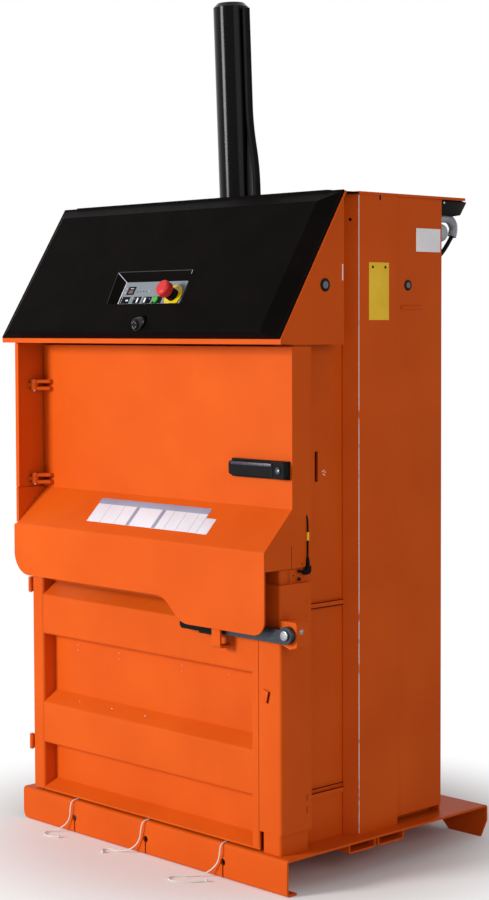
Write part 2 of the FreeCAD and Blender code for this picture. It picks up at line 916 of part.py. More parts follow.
def lock_bore():
    """The hole for the key lock, which points straight forwards out of the slope."""
    tool = doc.addObject("Part::Cylinder", "lock_bore")
    tool.Radius = float(s.lock_stem_radius + s.running_gap)
    tool.Height = float(s.lock_reach + s.lock_depth) * 1.5
    y, z = on_hood(s.lock_up_slope, s.cover_skin + s.cover_rise)
    turn = FreeCAD.Rotation(Vector(1, 0, 0), 90)
    start = Vector(float(s.lock_across), float(y + s.lock_depth * 1.5), float(z))
    tool.Placement = FreeCAD.Placement(start, turn)
    cut_cover(tool)


def door_header():
    body = new_body("door_header")
    face = back_from_front(s.header_setback)
    half = s.cheek_out - s.cheek_sheet
    line = [(face + 46, s.head_low + s.header_height), (face, s.head_low + s.header_height),
            (face, s.head_low)]
    folded(body, "YZ", line, s.header_sheet, -half, half, s.bend_radius)


def top_plate():
    body = new_body("top_plate")
    half = s.top_half
    start = back_from_front(s.strip_back_setback) + s.running_gap
    low = s.frame_top
    slab(body, "XY", box((-half, start), (half, back_from_front(s.top_back_setback))), low, low + s.top_sheet)
    cut_disc(body, "XY", (0, cylinder_y), s.cylinder_radius + 3, low, low + s.top_sheet)
    cut_disc(body, "XY", (s.hose_bulge, cylinder_y), s.hose_radius + 2, low, low + s.top_sheet)


def guard_plate():
    """The fixed plate left of the upper door, with the two hinge lugs on its inner face."""
    body = new_body("guard_plate")
    start = -s.cheek_out
    end = -s.post_out
    tip = front - s.guard_reach
    slab(body, "YZ", box((tip, s.guard_low), (wall_front - 2, s.head_low)), start, end)
    lip = box((start, tip), (start + s.guard_lip, tip + s.guard_lip_sheet))
    slab(body, "XY", lip, s.guard_low, s.head_low)
    axis = (-s.door_hinge_out, back_from_front(s.door_hinge_setback))
    lug = [(-s.post_out - 1, axis[1] - 14), (axis[0], axis[1] - s.arm_radius),
           (axis[0], axis[1] + s.arm_radius), (-s.post_out - 1, axis[1] + 14)]
    for height in (s.upper_hinge_height, s.lower_hinge_height):
        low = height - s.arm_gap / 2 + s.running_gap
        high = height + s.arm_gap / 2 - s.running_gap
        slab(body, "XY", lug, low, high)
        disc(body, "XY", axis, s.arm_radius, low, high)
        cut_disc(body, "XY", axis, s.hinge_pin_radius, low, high)


# ---------------------------------------------------------------- hydraulics
def revolve(body, corners, x, y):
    """A turned piece: an outline of radius and height, turned once about its upright axis."""
    sketch = outline(body, "XZ", corners, 0)
    feature = body.newObject("PartDesign::Revolution", body.Label + "_turning")
    feature.Profile = sketch
    feature.ReferenceAxis = (sketch, ["V_Axis"])
    feature.Angle = 360
    bind(body, "Placement.Base.x", x)
    bind(body, "Placement.Base.y", y)
    doc.recompute()


def cylinder():
    """The upright tube, its gland, piston and rod, drawn upright and then leaned forwards."""
    top = s.overall_height - (s.cylinder_radius - s.cap_round) * math.sin(lean_turn)
    beam_top = s.beam_low + s.beam_height
    body = new_body("cylinder_tube")
    wall = [(s.cylinder_bore, s.cylinder_low), (s.cylinder_radius, s.cylinder_low),
            (s.cylinder_radius, beam_top), (s.flange_radius, beam_top),
            (s.flange_radius, beam_top + s.flange_thickness),
            (s.cylinder_radius, beam_top + s.flange_thickness),
            (s.cylinder_radius, top - s.cap_round), (s.cylinder_radius - s.cap_round, top),
            (0, top), (0, top - s.cylinder_cap), (s.cylinder_bore, top - s.cylinder_cap)]
    revolve(body, wall, 0, cylinder_y)
    lean(body, 0)
    body = new_body("cylinder_gland")
    gland = box((s.rod_radius + s.pin_fit, s.cylinder_low),
                (s.cylinder_bore, s.cylinder_low + s.gland_height))
    revolve(body, gland, 0, cylinder_y)
    lean(body, 0)
    piston_top = top - s.cylinder_cap - 3
    body = new_body("piston")
    revolve(body, box((0, piston_top - s.piston_height), (s.cylinder_bore - s.running_gap, piston_top)),
            0, cylinder_y)
    lean(body, 0)
    body = new_body("piston_rod")
    seat = s.press_low + s.press_height + s.rod_radius * math.sin(lean_turn)
    revolve(body, box((0, seat), (s.rod_radius, piston_top - s.piston_height)), 0, cylinder_y)
    lean(body, 0)


def cylinder_hose():
    """The hose runs up the tube's right side and swings out where it enters the head."""
    beside = float(s.cylinder_radius + s.hose_radius + s.pin_fit)
    bulge = float(s.hose_bulge)
    foot = float(s.beam_low + s.beam_height + s.flange_thickness)
    plate = float(s.frame_top)
    route = [(beside + 2, foot), (beside + 2, foot + 40), (bulge, plate - 20), (bulge, plate + 84),
             (beside, plate + 184), (beside, float(s.hose_top))]
    points = [Vector(across, 0, height) for across, height in route]
    tube, length, tightest, ratio = sweep_tube(points, float(s.hose_radius))
    item = doc.addObject("Part::Feature", "cylinder_hose")
    item.Shape = tube
    item.Label = "cylinder_hose"
    turn = FreeCAD.Rotation(Vector(1, 0, 0), float(s.cylinder_lean))
    pivot = Vector(0, float(cylinder_y), plate)
    item.Placement = FreeCAD.Placement(pivot - turn.multVec(Vector(0, 0, plate)), turn)
    parts.append(item)
    print("hose: %.0f mm long, tightest bend %.1f mm, volume ratio %.4f" % (length, tightest, ratio))


def press_plate():
    """The press plate: a floor plate under a grid of ribs, with a pad for the rod."""
    body = new_body("press_plate")
    half = wall_in - s.press_clearance
    start = wall_front + s.press_clearance
    end = back_front - s.press_back_clearance
    low = s.press_low
    deck = low + s.press_plate_thickness
    high = low + s.press_height
    middle = cylinder_y + (s.frame_top - high) * math.tan(lean_turn)
    slab(body, "XY", box((-half, start), (half, end)), low, deck)
    for place in (start, end - s.press_rib, middle - 50, middle + 50 - s.press_rib):
        slab(body, "XY", box((-half, place), (half, place + s.press_rib)), deck, high - 12)
    for place in (-half, half - s.press_rib, -s.keyhole_spacing, s.keyhole_spacing - s.press_rib):
        slab(body, "XY", box((place, start), (place + s.press_rib, end)), deck, high - 12)
    disc(body, "XY", (0, middle), s.rod_radius * 3, deck, high)


def head_beam():
    body = new_body("head_beam")
    start = back_from_front(s.beam_setback)
    end = start + s.beam_depth
    low = s.beam_low
    high = low + s.beam_height
    wall = s.beam_sheet
    slab(body, "YZ", box((start, low), (end, high)), -wall_in, wall_in)
    cut_slab(body, "YZ", box((start + wall, low + wall), (end - wall, high - wall)), -wall_in, wall_in)
    cut_disc(body, "XY", (0, cylinder_y), s.cylinder_radius + s.running_gap, low, high)
    lean(body, cylinder_y)


def power_unit():
    """The shelf in the head with tank, motor and pump."""
    shelf_top = s.shelf_height + s.shelf_sheet
    start = back_from_front(s.shelf_setback)
    end = back_from_front(s.beam_setback)
    body = new_body("power_shelf")
    slab(body, "XY", box((-wall_in, start), (wall_in, end + 8)), s.shelf_height, shelf_top)
    tank_left = -wall_in + 12
    tank_back = end - 6
    body = new_body("oil_tank")
    corners = box((tank_left, tank_back - s.tank_depth), (tank_left + s.tank_length, tank_back))
    slab(body, "XY", corners, shelf_top, shelf_top + s.tank_height)
    inner = box((tank_left + 4, tank_back - s.tank_depth + 4), (tank_left + s.tank_length - 4, tank_back - 4))
    cut_slab(body, "XY", inner, shelf_top + 4, shelf_top + s.tank_height - 4)
    round_edges(body, "XY", corners, as_size(10))
    motor_axis = (tank_back - s.tank_depth / 2, shelf_top + s.motor_radius + 4)
    motor_left = tank_left + s.tank_length + s.pump_gap + s.pump_length
    body = new_body("pump_motor")
    disc(body, "YZ", motor_axis, s.motor_radius, motor_left, motor_left + s.motor_length)
    feet = box((motor_axis[0] - 34, shelf_top), (motor_axis[0] + 34, motor_axis[1] - s.motor_radius / 2))
    slab(body, "YZ", feet, motor_left + 30, motor_left + s.motor_length - 30)
    body = new_body("hydraulic_pump")
    disc(body, "YZ", motor_axis, s.pump_radius, motor_left - s.pump_length, motor_left)


# ---------------------------------------------------------------- controls
def control_panel():
    body = new_body("control_panel")
    corners = panel_corners()
    slab(body, "XY", corners, -s.panel_plate, as_size(0))
    cut_disc(body, "XY", (s.start_across, s.start_up_panel), s.start_radius + s.running_gap,
             -s.panel_plate, as_size(0))
    round_edges(body, "XY", corners, as_size(3))
    lay_on_panel(body)


def control_box():
    """The box of switches behind the recess."""
    body = new_body("control_box")
    back = -s.cover_skin / 2
    low = s.panel_low_up_slope
    corners = box((-s.panel_left, low), (s.panel_right, low + s.panel_length))
    slab(body, "XY", corners, back - 36, back)
    round_edges(body, "XY", corners, as_size(4))
    lay_on_hood(body)


def stop_controls():
    """The stop button on its plate, the start button, and the key lock."""
    centre = (s.stop_across, s.stop_up_panel)
    hole = s.stop_stem_radius + s.running_gap
    body = new_body("stop_collar")
    disc(body, "XY", centre, s.stop_collar_radius, as_size(0), s.stop_collar_height, hole)
    disc(body, "XY", centre, s.stop_neck_radius, s.stop_collar_height, s.stop_neck_height, hole)
    reach = s.stop_collar_radius + 1
    waste = box((s.stop_across - reach, -s.stop_collar_radius), (s.stop_across + reach, as_size(-1)))
    cut_slab(body, "XY", waste, as_size(0), s.stop_neck_height)
    lay_on_panel(body)
    body = new_body("stop_button")
    foot = s.stop_travel + 1
    head = s.stop_neck_height + s.stop_travel + 1
    tip = head + s.stop_head_length
    radius = s.stop_head_radius
    revolve(body, [(0, foot), (s.stop_stem_radius, foot), (s.stop_stem_radius, head), (radius - 4, head),
                   (radius, head + 5), (radius, tip - 6), (radius - 2, tip - 2), (radius - 5, tip),
                   (0, tip)], 0, 0)
    place_on_panel(body, centre)
    centre = (s.start_across, s.start_up_panel)
    body = new_body("start_button")
    low = s.start_travel + s.running_gap - s.panel_plate
    revolve(body, [(0, low), (s.start_radius, low), (s.start_radius, as_size(3)),
                   (s.start_radius - 1.5, as_size(4.5)), (0, as_size(4.5))], 0, 0)
    place_on_panel(body, centre)
    body = new_body("key_lock")
    face = s.lock_reach
    revolve(body, [(0, -s.lock_depth), (s.lock_stem_radius, -s.lock_depth),
                   (s.lock_stem_radius, face - 5), (s.lock_radius, face - 5),
                   (s.lock_radius, face - 2), (s.lock_radius - 2, face), (0, face)], 0, 0)
    body.setExpression("Placement.Base.x", None)
    body.setExpression("Placement.Base.y", None)
    y, z = on_hood(s.lock_up_slope, s.cover_skin + s.cover_rise)
    place = Vector(float(s.lock_across), float(y), float(z))
    body.Placement = FreeCAD.Placement(place, FreeCAD.Rotation(Vector(1, 0, 0), 90))


def place_on_panel(body, centre):
    """Moves a turned piece to its place on the panel."""
    body.setExpression("Placement.Base.x", None)
    body.setExpression("Placement.Base.y", None)
    across, along = centre
    y, z = on_panel(along)
    turn = FreeCAD.Rotation(Vector(1, 0, 0), panel_angle)
    body.Placement = FreeCAD.Placement(Vector(float(across), float(y), float(z)), turn)


# ---------------------------------------------------------------- upper door
def upper_door():
    """Panel, apron and bib are one sheet with two folds, with a side flange on the right."""
    body = new_body("upper_door")
    face = back_from_front(s.door_setback)
    bib = front - s.bib_reach
    line = [(face, s.door_top), (face, s.fold_height), (bib, s.bib_fold_height), (bib, s.lobe_low)]
    folded(body, "YZ", line, s.door_sheet, -s.bib_left, s.door_right, s.bend_radius)
    rear = back_from_front(s.flange_back_setback)
    start = s.door_right - s.door_sheet
    flange = [(face + 2, s.door_top), (rear, s.door_top), (rear, s.side_flange_low),
              (bib + 2, s.side_flange_low), (bib + 2, s.bib_fold_height), (face + 2, s.fold_height)]
    slab(body, "YZ", flange, start, s.door_right)
    gusset = [(face + 3, s.fold_height - 2), (face + 3, s.bib_fold_height + 7),
              (bib + 15, s.bib_fold_height + 7)]
    slab(body, "YZ", gusset, -s.door_left - s.door_sheet, -s.door_left)
    # left edge of the panel and apron, right of the bib's edge
    trim = box((-s.bib_left, s.bib_fold_height), (-s.door_left - s.door_sheet, s.door_top))
    cut_slab(body, "XZ", trim, bib - 1, rear)
    trim = box((-s.door_left - s.door_sheet, s.fold_height), (-s.door_left, s.door_top))
    cut_slab(body, "XZ", trim, bib - 1, rear)
    # the wing carries the guard's outline on down, and swings with the door
    tip = front - s.guard_reach
    wing = [(face + s.door_sheet, s.fold_height), (tip, s.fold_height), (tip, s.bib_fold_height + 4)]
    slab(body, "YZ", wing, -s.cheek_out, -s.door_left)
    # the bib's lower edge steps down to the lobe
    below = [(-s.bib_left, s.lobe_low), (s.lobe_start + s.lobe_run, s.lobe_low),
             (s.lobe_start, s.bib_low), (-s.bib_left, s.bib_low)]
    cut_slab(body, "XZ", below, bib - 1, bib + s.door_sheet + 1)
    round_edges(body, "XZ", [(-s.bib_left, s.bib_low)], s.bib_left_round)
    round_edges(body, "XZ", [(s.lobe_start, s.bib_low), (s.lobe_start + s.lobe_run, s.lobe_low)],
                s.lobe_round)
    round_edges(body, "XZ", [(s.door_right, s.lobe_low)], s.bib_right_round)
    round_edges(body, "XZ", [(-s.bib_left, s.bib_fold_height)], as_size(6))


def hinge_arms():
    body = doc.addObject("Part::MultiFuse", "door_hinge_arms")
    axis = (-s.door_hinge_out, back_from_front(s.door_hinge_setback))
    face = back_from_front(s.door_setback)
    arms = []
    for level, height in (("upper", s.upper_hinge_height), ("lower", s.lower_hinge_height)):
        for place, low in (("over", height + s.arm_gap / 2),
                           ("under", height - s.arm_gap / 2 - s.arm_thickness)):
            arm = doc.addObject("PartDesign::Body", "arm_%s_%s" % (level, place))
            corners = [(axis[0] - s.arm_radius + 1, axis[1]), (axis[0] + s.arm_radius, axis[1]),
                       (-s.arm_reach, face - 10), (-s.arm_reach, face), (-s.door_left + 1, face)]
            slab(arm, "XY", corners, low, low + s.arm_thickness)
            disc(arm, "XY", axis, s.arm_radius, low, low + s.arm_thickness)
            cut_disc(arm, "XY", axis, s.hinge_pin_radius + s.pin_fit, low, low + s.arm_thickness)
            arms.append(arm)
    body.Shapes = arms
    body.Label = "door_hinge_arms"
    parts.append(body)


def hinge_pins():
    """Pins of all four hinges."""
    body = doc.addObject("Part::MultiFuse", "hinge_pins")
    pins = []
    for level, height in (("upper", s.upper_hinge_height), ("lower", s.lower_hinge_height)):
        pin = doc.addObject("PartDesign::Body", "door_pin_" + level)
        axis = (-s.door_hinge_out, back_from_front(s.door_hinge_setback))
        reach = s.arm_gap / 2 + s.arm_thickness
        disc(pin, "XY", axis, s.hinge_pin_radius, height - reach - 3, height + reach + 1)
        pins.append(pin)
    for level, height in (("low", s.low_knuckle), ("high", s.high_knuckle)):
        pin = doc.addObject("PartDesign::Body", "bale_pin_" + level)
        axis = (-s.bale_hinge_out, back_from_front(s.bale_hinge_setback))
        reach = s.knuckle_length * 2 + s.running_gap
        disc(pin, "XY", axis, s.bale_pin_radius, height - 2, height + reach + 2)
        pins.append(pin)
    body.Shapes = pins
    body.Label = "hinge_pins"
    parts.append(body)


def door_handle():
    """A lever handle in its base, hinged near the right end."""
    base_front = back_from_front(s.door_setback) - s.handle_base
    low = s.handle_low
    high = low + s.handle_height
    body = new_body("handle_base")
    base_outline = box((s.handle_left, low), (s.handle_right, high))
    slab(body, "XZ", base_outline, base_front, base_front + s.handle_base)
    stop = s.handle_right - s.handle_pivot_inset
    well = box((s.handle_left + 16, low + 6), (s.handle_left + 70, high - 6))
    cut_slab(body, "XZ", well, base_front, base_front + s.handle_base - 2)
    paddle_front = base_front - s.handle_paddle
    boss = box((stop, low + 2), (s.handle_right, high - 2))
    slab(body, "XZ", boss, paddle_front, base_front)
    round_edges(body, "XZ", [(s.handle_right, low + 2), (s.handle_right, high - 2)], as_size(8))
    cut_disc(body, "XZ", (stop + 15, low + s.handle_height / 2), as_size(7.5), paddle_front, base_front)
    # an ear above and below carries the pin that the paddle turns on
    hinge = (stop - s.handle_paddle / 2, base_front - s.handle_paddle / 2)
    for ear in (low + 2, high - 2 - s.handle_ear):
        slab(body, "XY", box((hinge[0] - 4, paddle_front + 1), (stop, base_front)), ear, ear + s.handle_ear)
    disc(body, "XY", hinge, s.handle_pin_radius, low + 2, high - 2)
    body = new_body("door_handle")
    end = s.handle_paddle / 2 - s.running_gap
    paddle_low = low + 2 + s.handle_ear + s.running_gap
    paddle_high = high - 2 - s.handle_ear - s.running_gap
    paddle = box((s.handle_left + 2, paddle_low), (hinge[0], paddle_high))
    slab(body, "XZ", paddle, hinge[1] - end, hinge[1] + end)
    round_edges(body, "XZ", [(s.handle_left + 2, paddle_low), (s.handle_left + 2, paddle_high)], as_size(7))
    disc(body, "XY", hinge, end, paddle_low, paddle_high)
    cut_disc(body, "XY", hinge, s.handle_pin_radius + s.pin_fit, paddle_low, paddle_high)
    body = new_body("handle_lock")
    disc(body, "XZ", (stop + 15, low + s.handle_height / 2), as_size(7.2), paddle_front - 2, base_front)


# ---------------------------------------------------------------- bale door
def beam_line(low, high, slope):
    face = back_from_front(s.bale_setback)
    seat = face + s.panel_depth
    return [(seat, high + slope), (face, high), (face, low), (seat, low)]


def lobe_trim(body):
    """Keeps the door below the bib's lobe."""
    face = back_from_front(s.bale_setback)
    corner = box((s.bale_lobe_start, s.bale_lobe_top), (s.cover_out, s.bale_top + 1))
    cut_slab(body, "XZ", corner, face - 1, face + s.panel_depth + s.bale_sheet + 1)


def bale_door():
    face = back_from_front(s.bale_setback)
    seat = face + s.panel_depth
    body = new_body("bale_door")
    panel = box((-s.stile_left_out + s.bale_sheet, s.bale_low), (s.cover_in, s.bale_top))
    slab(body, "XZ", panel, seat, seat + s.bale_sheet)
    ledge = [(seat + 1, s.bale_low + s.sill_rise), (face, s.bale_low + 4), (face, s.bale_low)]
    folded(body, "YZ", ledge, s.bale_sheet - 1, -s.stile_left_in, s.stile_right_in)
    lobe_trim(body)
    body = new_body("door_beam_top")
    line = beam_line(s.top_beam_low, s.top_beam_high, s.top_beam_slope)
    folded(body, "YZ", line, s.bale_sheet, -s.stile_left_in, s.stile_right_in, s.bend_radius)
    flush_to_panel(body, seat, s.top_beam_high + s.top_beam_slope)
    lobe_trim(body)
    body = new_body("door_beam_middle")
    line = beam_line(s.middle_beam_low, s.middle_beam_high, s.middle_beam_slope)
    folded(body, "YZ", line, s.bale_sheet, -s.stile_left_in, s.stile_right_in, s.bend_radius)
    flush_to_panel(body, seat, s.middle_beam_high + s.middle_beam_slope)
    body = new_body("door_stile")
    line = [(-s.stile_left_in, seat), (-s.stile_left_in, face), (-s.stile_left_out, face),
            (-s.stile_left_out, seat)]
    folded(body, "XY", line[::-1], s.bale_sheet, s.bale_low, s.bale_top, s.bend_radius)


def flush_to_panel(body, seat, top):
    """Trims the slanted end of a beam's sheet where it would enter the panel."""
    trim = box((seat, top - 20), (seat + 8, top + 8))
    half = s.stile_left_in
    doc.recompute()
    if body.Shape.BoundBox.YMax > float(seat) + 0.01:
        cut_slab(body, "YZ", trim, -half, half)


def door_cover():
    """The right cover of the bale door, which wraps the front post."""
    face = back_from_front(s.bale_setback)
    outer = face - s.cover_step
    rear = back_from_front(s.cover_back_setback)
    body = new_body("door_cover")
    line = [(s.cover_in, outer), (s.cover_out, outer), (s.cover_out, rear)]
    folded(body, "XY", line, s.bale_sheet, s.cover_low, s.post_cover_low - 3, s.bend_radius)
    line = [(s.stile_right_in, face + s.panel_depth), (s.stile_right_in, face), (s.cover_in + 4, face)]
    folded(body, "XY", line, s.bale_sheet, s.bale_low, s.bale_lobe_top)


def bale_hinges():
    axis = (-s.bale_hinge_out, back_from_front(s.bale_hinge_setback))
    pivot_hole = s.bale_pin_radius + s.pin_fit
    face = back_from_front(s.bale_setback)
    leaves = []
    knuckles = []
    outer = -s.bale_hinge_out - s.knuckle_radius
    spacer = wall_front - 26
    for level, height, frame_first in (("low", s.low_knuckle, True), ("high", s.high_knuckle, False)):
        upper = height + s.knuckle_length + s.running_gap
        frame_low, door_low = (height, upper) if frame_first else (upper, height)
        leaf = doc.addObject("PartDesign::Body", "leaf_" + level)
        corners = [(outer, axis[1]), (outer + s.strap_leaf, axis[1]), (outer + s.strap_leaf, spacer),
                   (-s.post_out, spacer), (-s.post_out, wall_front - 4), (outer, wall_front - 4)]
        high = frame_low + s.knuckle_length
        slab(leaf, "XY", corners, frame_low, high)
        disc(leaf, "XY", axis, s.knuckle_radius, frame_low, high)
        cut_disc(leaf, "XY", axis, s.bale_pin_radius, frame_low, high)
        leaves.append(leaf)
        knuckle = doc.addObject("PartDesign::Body", "knuckle_" + level)
        high = door_low + s.knuckle_length
        tab = [(axis[0], axis[1] - 3), (axis[0] + 6, axis[1] - 3), (-s.stile_left_out, face + 8),
               (-s.stile_left_out, face + 26), (axis[0], axis[1] + 7)]
        slab(knuckle, "XY", tab, door_low, high)
        disc(knuckle, "XY", axis, s.knuckle_radius, door_low, high)
        cut_disc(knuckle, "XY", axis, pivot_hole, door_low, high)
        knuckles.append(knuckle)
    for label, pieces in (("bale_hinge_leaves", leaves), ("door_knuckles", knuckles)):
        body = doc.addObject("Part::MultiFuse", label)
        body.Shapes = pieces
        body.Label = label
        parts.append(body)


# ---------------------------------------------------------------- lock lever
lever_front = front - s.lever_front_reach
lever_back = lever_front + s.lever_thickness
lever_pivot = (s.lever_pivot_across, s.lever_pivot_height)
bar_low = s.lever_pivot_height - s.lever_boss_radius
bar_high = bar_low + s.lever_height
tang_low = bar_low + s.grip_height / 4
tang_high = bar_low + s.grip_height * 0.7
tang_front = lever_front + s.lever_thickness / 4
tang_back = lever_back - s.lever_thickness / 4


def lock_lever():
    body = new_body("lock_lever")
    bar = box((s.grip_right, bar_low), (s.lever_pivot_across, bar_high))
    slab(body, "XZ", bar, lever_front, lever_back)
    disc(body, "XZ", lever_pivot, s.lever_boss_radius, lever_front, lever_back)
    tang = box((s.grip_right - s.tang_length, tang_low), (s.grip_right, tang_high))
    slab(body, "XZ", tang, tang_front, tang_back)
    cut_disc(body, "XZ", lever_pivot, s.lever_bolt_radius + s.pin_fit, lever_front, lever_back)
    body = new_body("lever_grip")
    swell = s.grip_swell
    grip = box((s.grip_left, bar_low - swell), (s.grip_right, bar_low + s.grip_height))
    slab(body, "XZ", grip, lever_front - swell, lever_back + swell)
    round_edges(body, "XZ", [grip[0], grip[3]], as_size(9))
    tunnel = box((s.grip_right - s.tang_length, tang_low), (s.grip_right, tang_high))
    cut_slab(body, "XZ", tunnel, tang_front, tang_back)


def latch_housing():
    """The housing beside the cover, with the bolt that the lever turns on."""
    body = new_body("latch_housing")
    left = s.cover_out
    right = s.housing_right
    start = lever_back + s.running_gap
    end = back_from_front(s.housing_back_setback)
    corners = [(left, s.housing_low + 12), (right - 20, s.housing_low), (right, s.housing_low + 6),
               (right, s.housing_top), (left, s.housing_top)]
    slab(body, "XZ", corners, start, end)
    round_edges(body, "XZ", [(left, s.housing_top)], as_size(12))
    round_edges(body, "XZ", [(right, s.housing_top)], as_size(6))
    disc(body, "XZ", lever_pivot, s.lever_bolt_radius, lever_front - s.running_gap - s.bolt_head, start)
    disc(body, "XZ", lever_pivot, s.bolt_head_radius, lever_front - s.running_gap - s.bolt_head,
         lever_front - s.running_gap)


def lever_keeper():
    body = new_body("lever_keeper")
    face = back_from_front(s.bale_setback)
    tip = front - s.keeper_reach
    line = [(face, s.bale_lobe_top), (face, s.keeper_low), (tip, s.keeper_low), (tip, s.bale_lobe_top)]
    folded(body, "YZ", line[::-1], s.keeper_sheet, s.keeper_left, s.keeper_right, s.bend_radius)


# ---------------------------------------------------------------- twines
# Each route is relative to its slot: across, from the front line, and height.
TWINE_ROUTES = {
    "twine_left": [(0, 78, 82), (3, 46, 82.1), (-1, 16, 82), (-3, -7, 80), (-5, -9, 58), (-10, -6, 36),
                   (-22, -12, 17), (-38, -26, 5), (-54, -44, 2), (-40, -62, 2.2), (-16, -66, 2),
                   (4, -56, 2)],
    "twine_middle": [(0, 78, 82), (-3, 47, 82.1), (1, 17, 82), (-2, -7, 80), (-6, -9, 58), (-12, -6, 37),
                     (-24, -10, 18), (-40, -22, 6), (-66, -32, 2), (-92, -30, 2.2), (-104, -48, 2),
                     (-84, -60, 2)],
    "twine_right": [(0, 78, 82), (2, 46, 82.1), (-1, 16, 82), (1, -7, 80), (0, -9, 58), (-8, -6, 38),
                    (-22, -9, 20), (-38, -22, 6), (-62, -48, 2), (-90, -76, 2.2), (-78, -96, 2),
                    (-48, -94, 2.2), (-22, -74, 2), (-8, -46, 2)],
}


def tube_path(points):
    """Straight runs joined by tangent arcs, each as large as its two runs allow."""
    edges = []
    start = points[0]
    radii = []
    for before, here, after in zip(points, points[1:], points[2:]):
        into = (here - before)
        out = (after - here)
        half_turn = into.getAngle(out) / 2
        reach = 0.45 * min(into.Length, out.Length)
        radii.append(reach / math.tan(half_turn))
        into.normalize()
        out.normalize()
        first = here - into * reach
        last = here + out * reach
        inward = out - into
        inward.normalize()
        middle = here + inward * (radii[-1] / math.cos(half_turn) - radii[-1])
        edges.append(Part.LineSegment(start, first).toShape())
        edges.append(Part.Arc(first, middle, last).toShape())
        start = last
    edges.append(Part.LineSegment(start, points[-1]).toShape())
    return Part.Wire(edges), radii


def sweep_tube(points, radius):
    path, radii = tube_path(points)
    start = (points[1] - points[0]).normalize()
    section = Part.Wire(Part.Circle(points[0], start, radius).toShape())
    tube = path.makePipeShell([section], True, False)
    ratio = tube.Volume / (math.pi * radius * radius * path.Length)
    return tube, path.Length, min(radii), ratio


def twines():
    radius = float(s.twine_radius)
    slots = {"twine_left": -s.keyhole_spacing, "twine_middle": as_size(0), "twine_right": s.keyhole_spacing}
    for name, route in TWINE_ROUTES.items():
        across = float(slots[name])
        rise = float(s.base_height) - 80
        points = [Vector(across + x, float(front) + y, z + (rise if z > 40 else 0)) for x, y, z in route]
        tube, length, tightest, ratio = sweep_tube(points, radius)
        along = (points[-1] - points[-2]).normalize()
        knot_centre = points[-1] + along * float(s.knot_radius) * 0.9
        knot_centre.z = float(s.knot_radius) + 0.1
        knot = Part.makeSphere(float(s.knot_radius), knot_centre)
        item = doc.addObject("Part::Feature", name)
        item.Shape = tube.fuse(knot)
        item.Label = name
        item.Placement = FreeCAD.Placement()
        parts.append(item)
        print("%s: %.0f mm long, tightest bend %.1f mm, volume ratio %.4f" % (
            name, length, tightest, ratio))


# ---------------------------------------------------------------- build
base_plate()
base_rails()
chamber_floor()
side_walls()
columns()
rear_panels()
back_panel()
front_posts()
post_cover()
wall_straps()
cheeks()
hood_rim()
hood_cover()
strip_notch()
control_recess()
lock_bore()
door_header()
top_plate()
guard_plate()
cylinder()
cylinder_hose()
press_plate()
head_beam()
power_unit()
control_panel()
control_box()
stop_controls()
upper_door()
hinge_arms()
hinge_pins()
door_handle()
bale_door()
door_cover()
bale_hinges()
lock_lever()
latch_housing()
lever_keeper()
twines()
doc.recompute()

failed = [item.Label for item in doc.Objects if "Invalid" in item.State or "Error" in item.State]
if failed:
    raise RuntimeError("failed: %s" % ", ".join(failed))
for item in parts:
    if item.Shape.isNull() or not item.Shape.isValid():
        raise RuntimeError("bad shape: " + item.Label)

os.makedirs("parts", exist_ok=True)
for item in parts:
    item.Shape.exportStep("parts/%s.step" % item.Label)
    print("%-20s solids %d  volume %.0f cm3" % (
        item.Label, len(item.Shape.Solids), item.Shape.Volume / 1000))
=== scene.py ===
# %% [markdown]
# # A recycling baler, dressed for its picture
#
# A baler presses cardboard and plastic into tied bales. This one is folded
# from orange sheet steel, with a black moulded hood, a press cylinder on top
# and two doors. Its solids come from a CAD model that is already true to
# size, so this lesson only gives them paint, metal and small parts.

# %% Load the frame
import json
import math

import bmesh
import bpy
from mathutils import Matrix, Vector


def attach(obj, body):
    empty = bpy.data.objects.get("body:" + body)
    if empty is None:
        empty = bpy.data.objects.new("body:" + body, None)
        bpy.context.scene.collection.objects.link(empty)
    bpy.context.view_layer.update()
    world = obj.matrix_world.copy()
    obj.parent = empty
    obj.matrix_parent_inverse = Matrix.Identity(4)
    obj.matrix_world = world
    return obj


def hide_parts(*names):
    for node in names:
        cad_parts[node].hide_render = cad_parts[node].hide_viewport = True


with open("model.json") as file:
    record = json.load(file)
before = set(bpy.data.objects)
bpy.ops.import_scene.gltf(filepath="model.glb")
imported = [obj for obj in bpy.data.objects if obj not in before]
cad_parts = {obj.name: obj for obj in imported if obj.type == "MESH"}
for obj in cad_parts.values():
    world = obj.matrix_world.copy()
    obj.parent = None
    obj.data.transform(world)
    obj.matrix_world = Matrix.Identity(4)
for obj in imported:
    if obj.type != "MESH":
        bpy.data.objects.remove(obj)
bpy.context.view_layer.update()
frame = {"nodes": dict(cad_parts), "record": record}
front = -0.320  # the base's front edge, in the row frame

# %% [markdown]
# ## The camera
#
# The picture was taken from the right of the front, about level with the
# hood. A camera in Blender looks along its own -Z axis, so the three columns
# of its matrix are the picture's right, the picture's up and the direction
# away from the view. The lens is long, so upright edges stay nearly parallel.

# %% Camera
yaw, pitch, roll = (math.radians(a) for a in (46.192, 2.926, 0.207))
ahead = Vector((-math.sin(yaw) * math.cos(pitch), math.cos(yaw) * math.cos(pitch), -math.sin(pitch)))
level = Vector((math.cos(yaw), math.sin(yaw), 0))
down = ahead.cross(level)
picture_right = level * math.cos(roll) + down * math.sin(roll)
picture_up = level * math.sin(roll) - down * math.cos(roll)

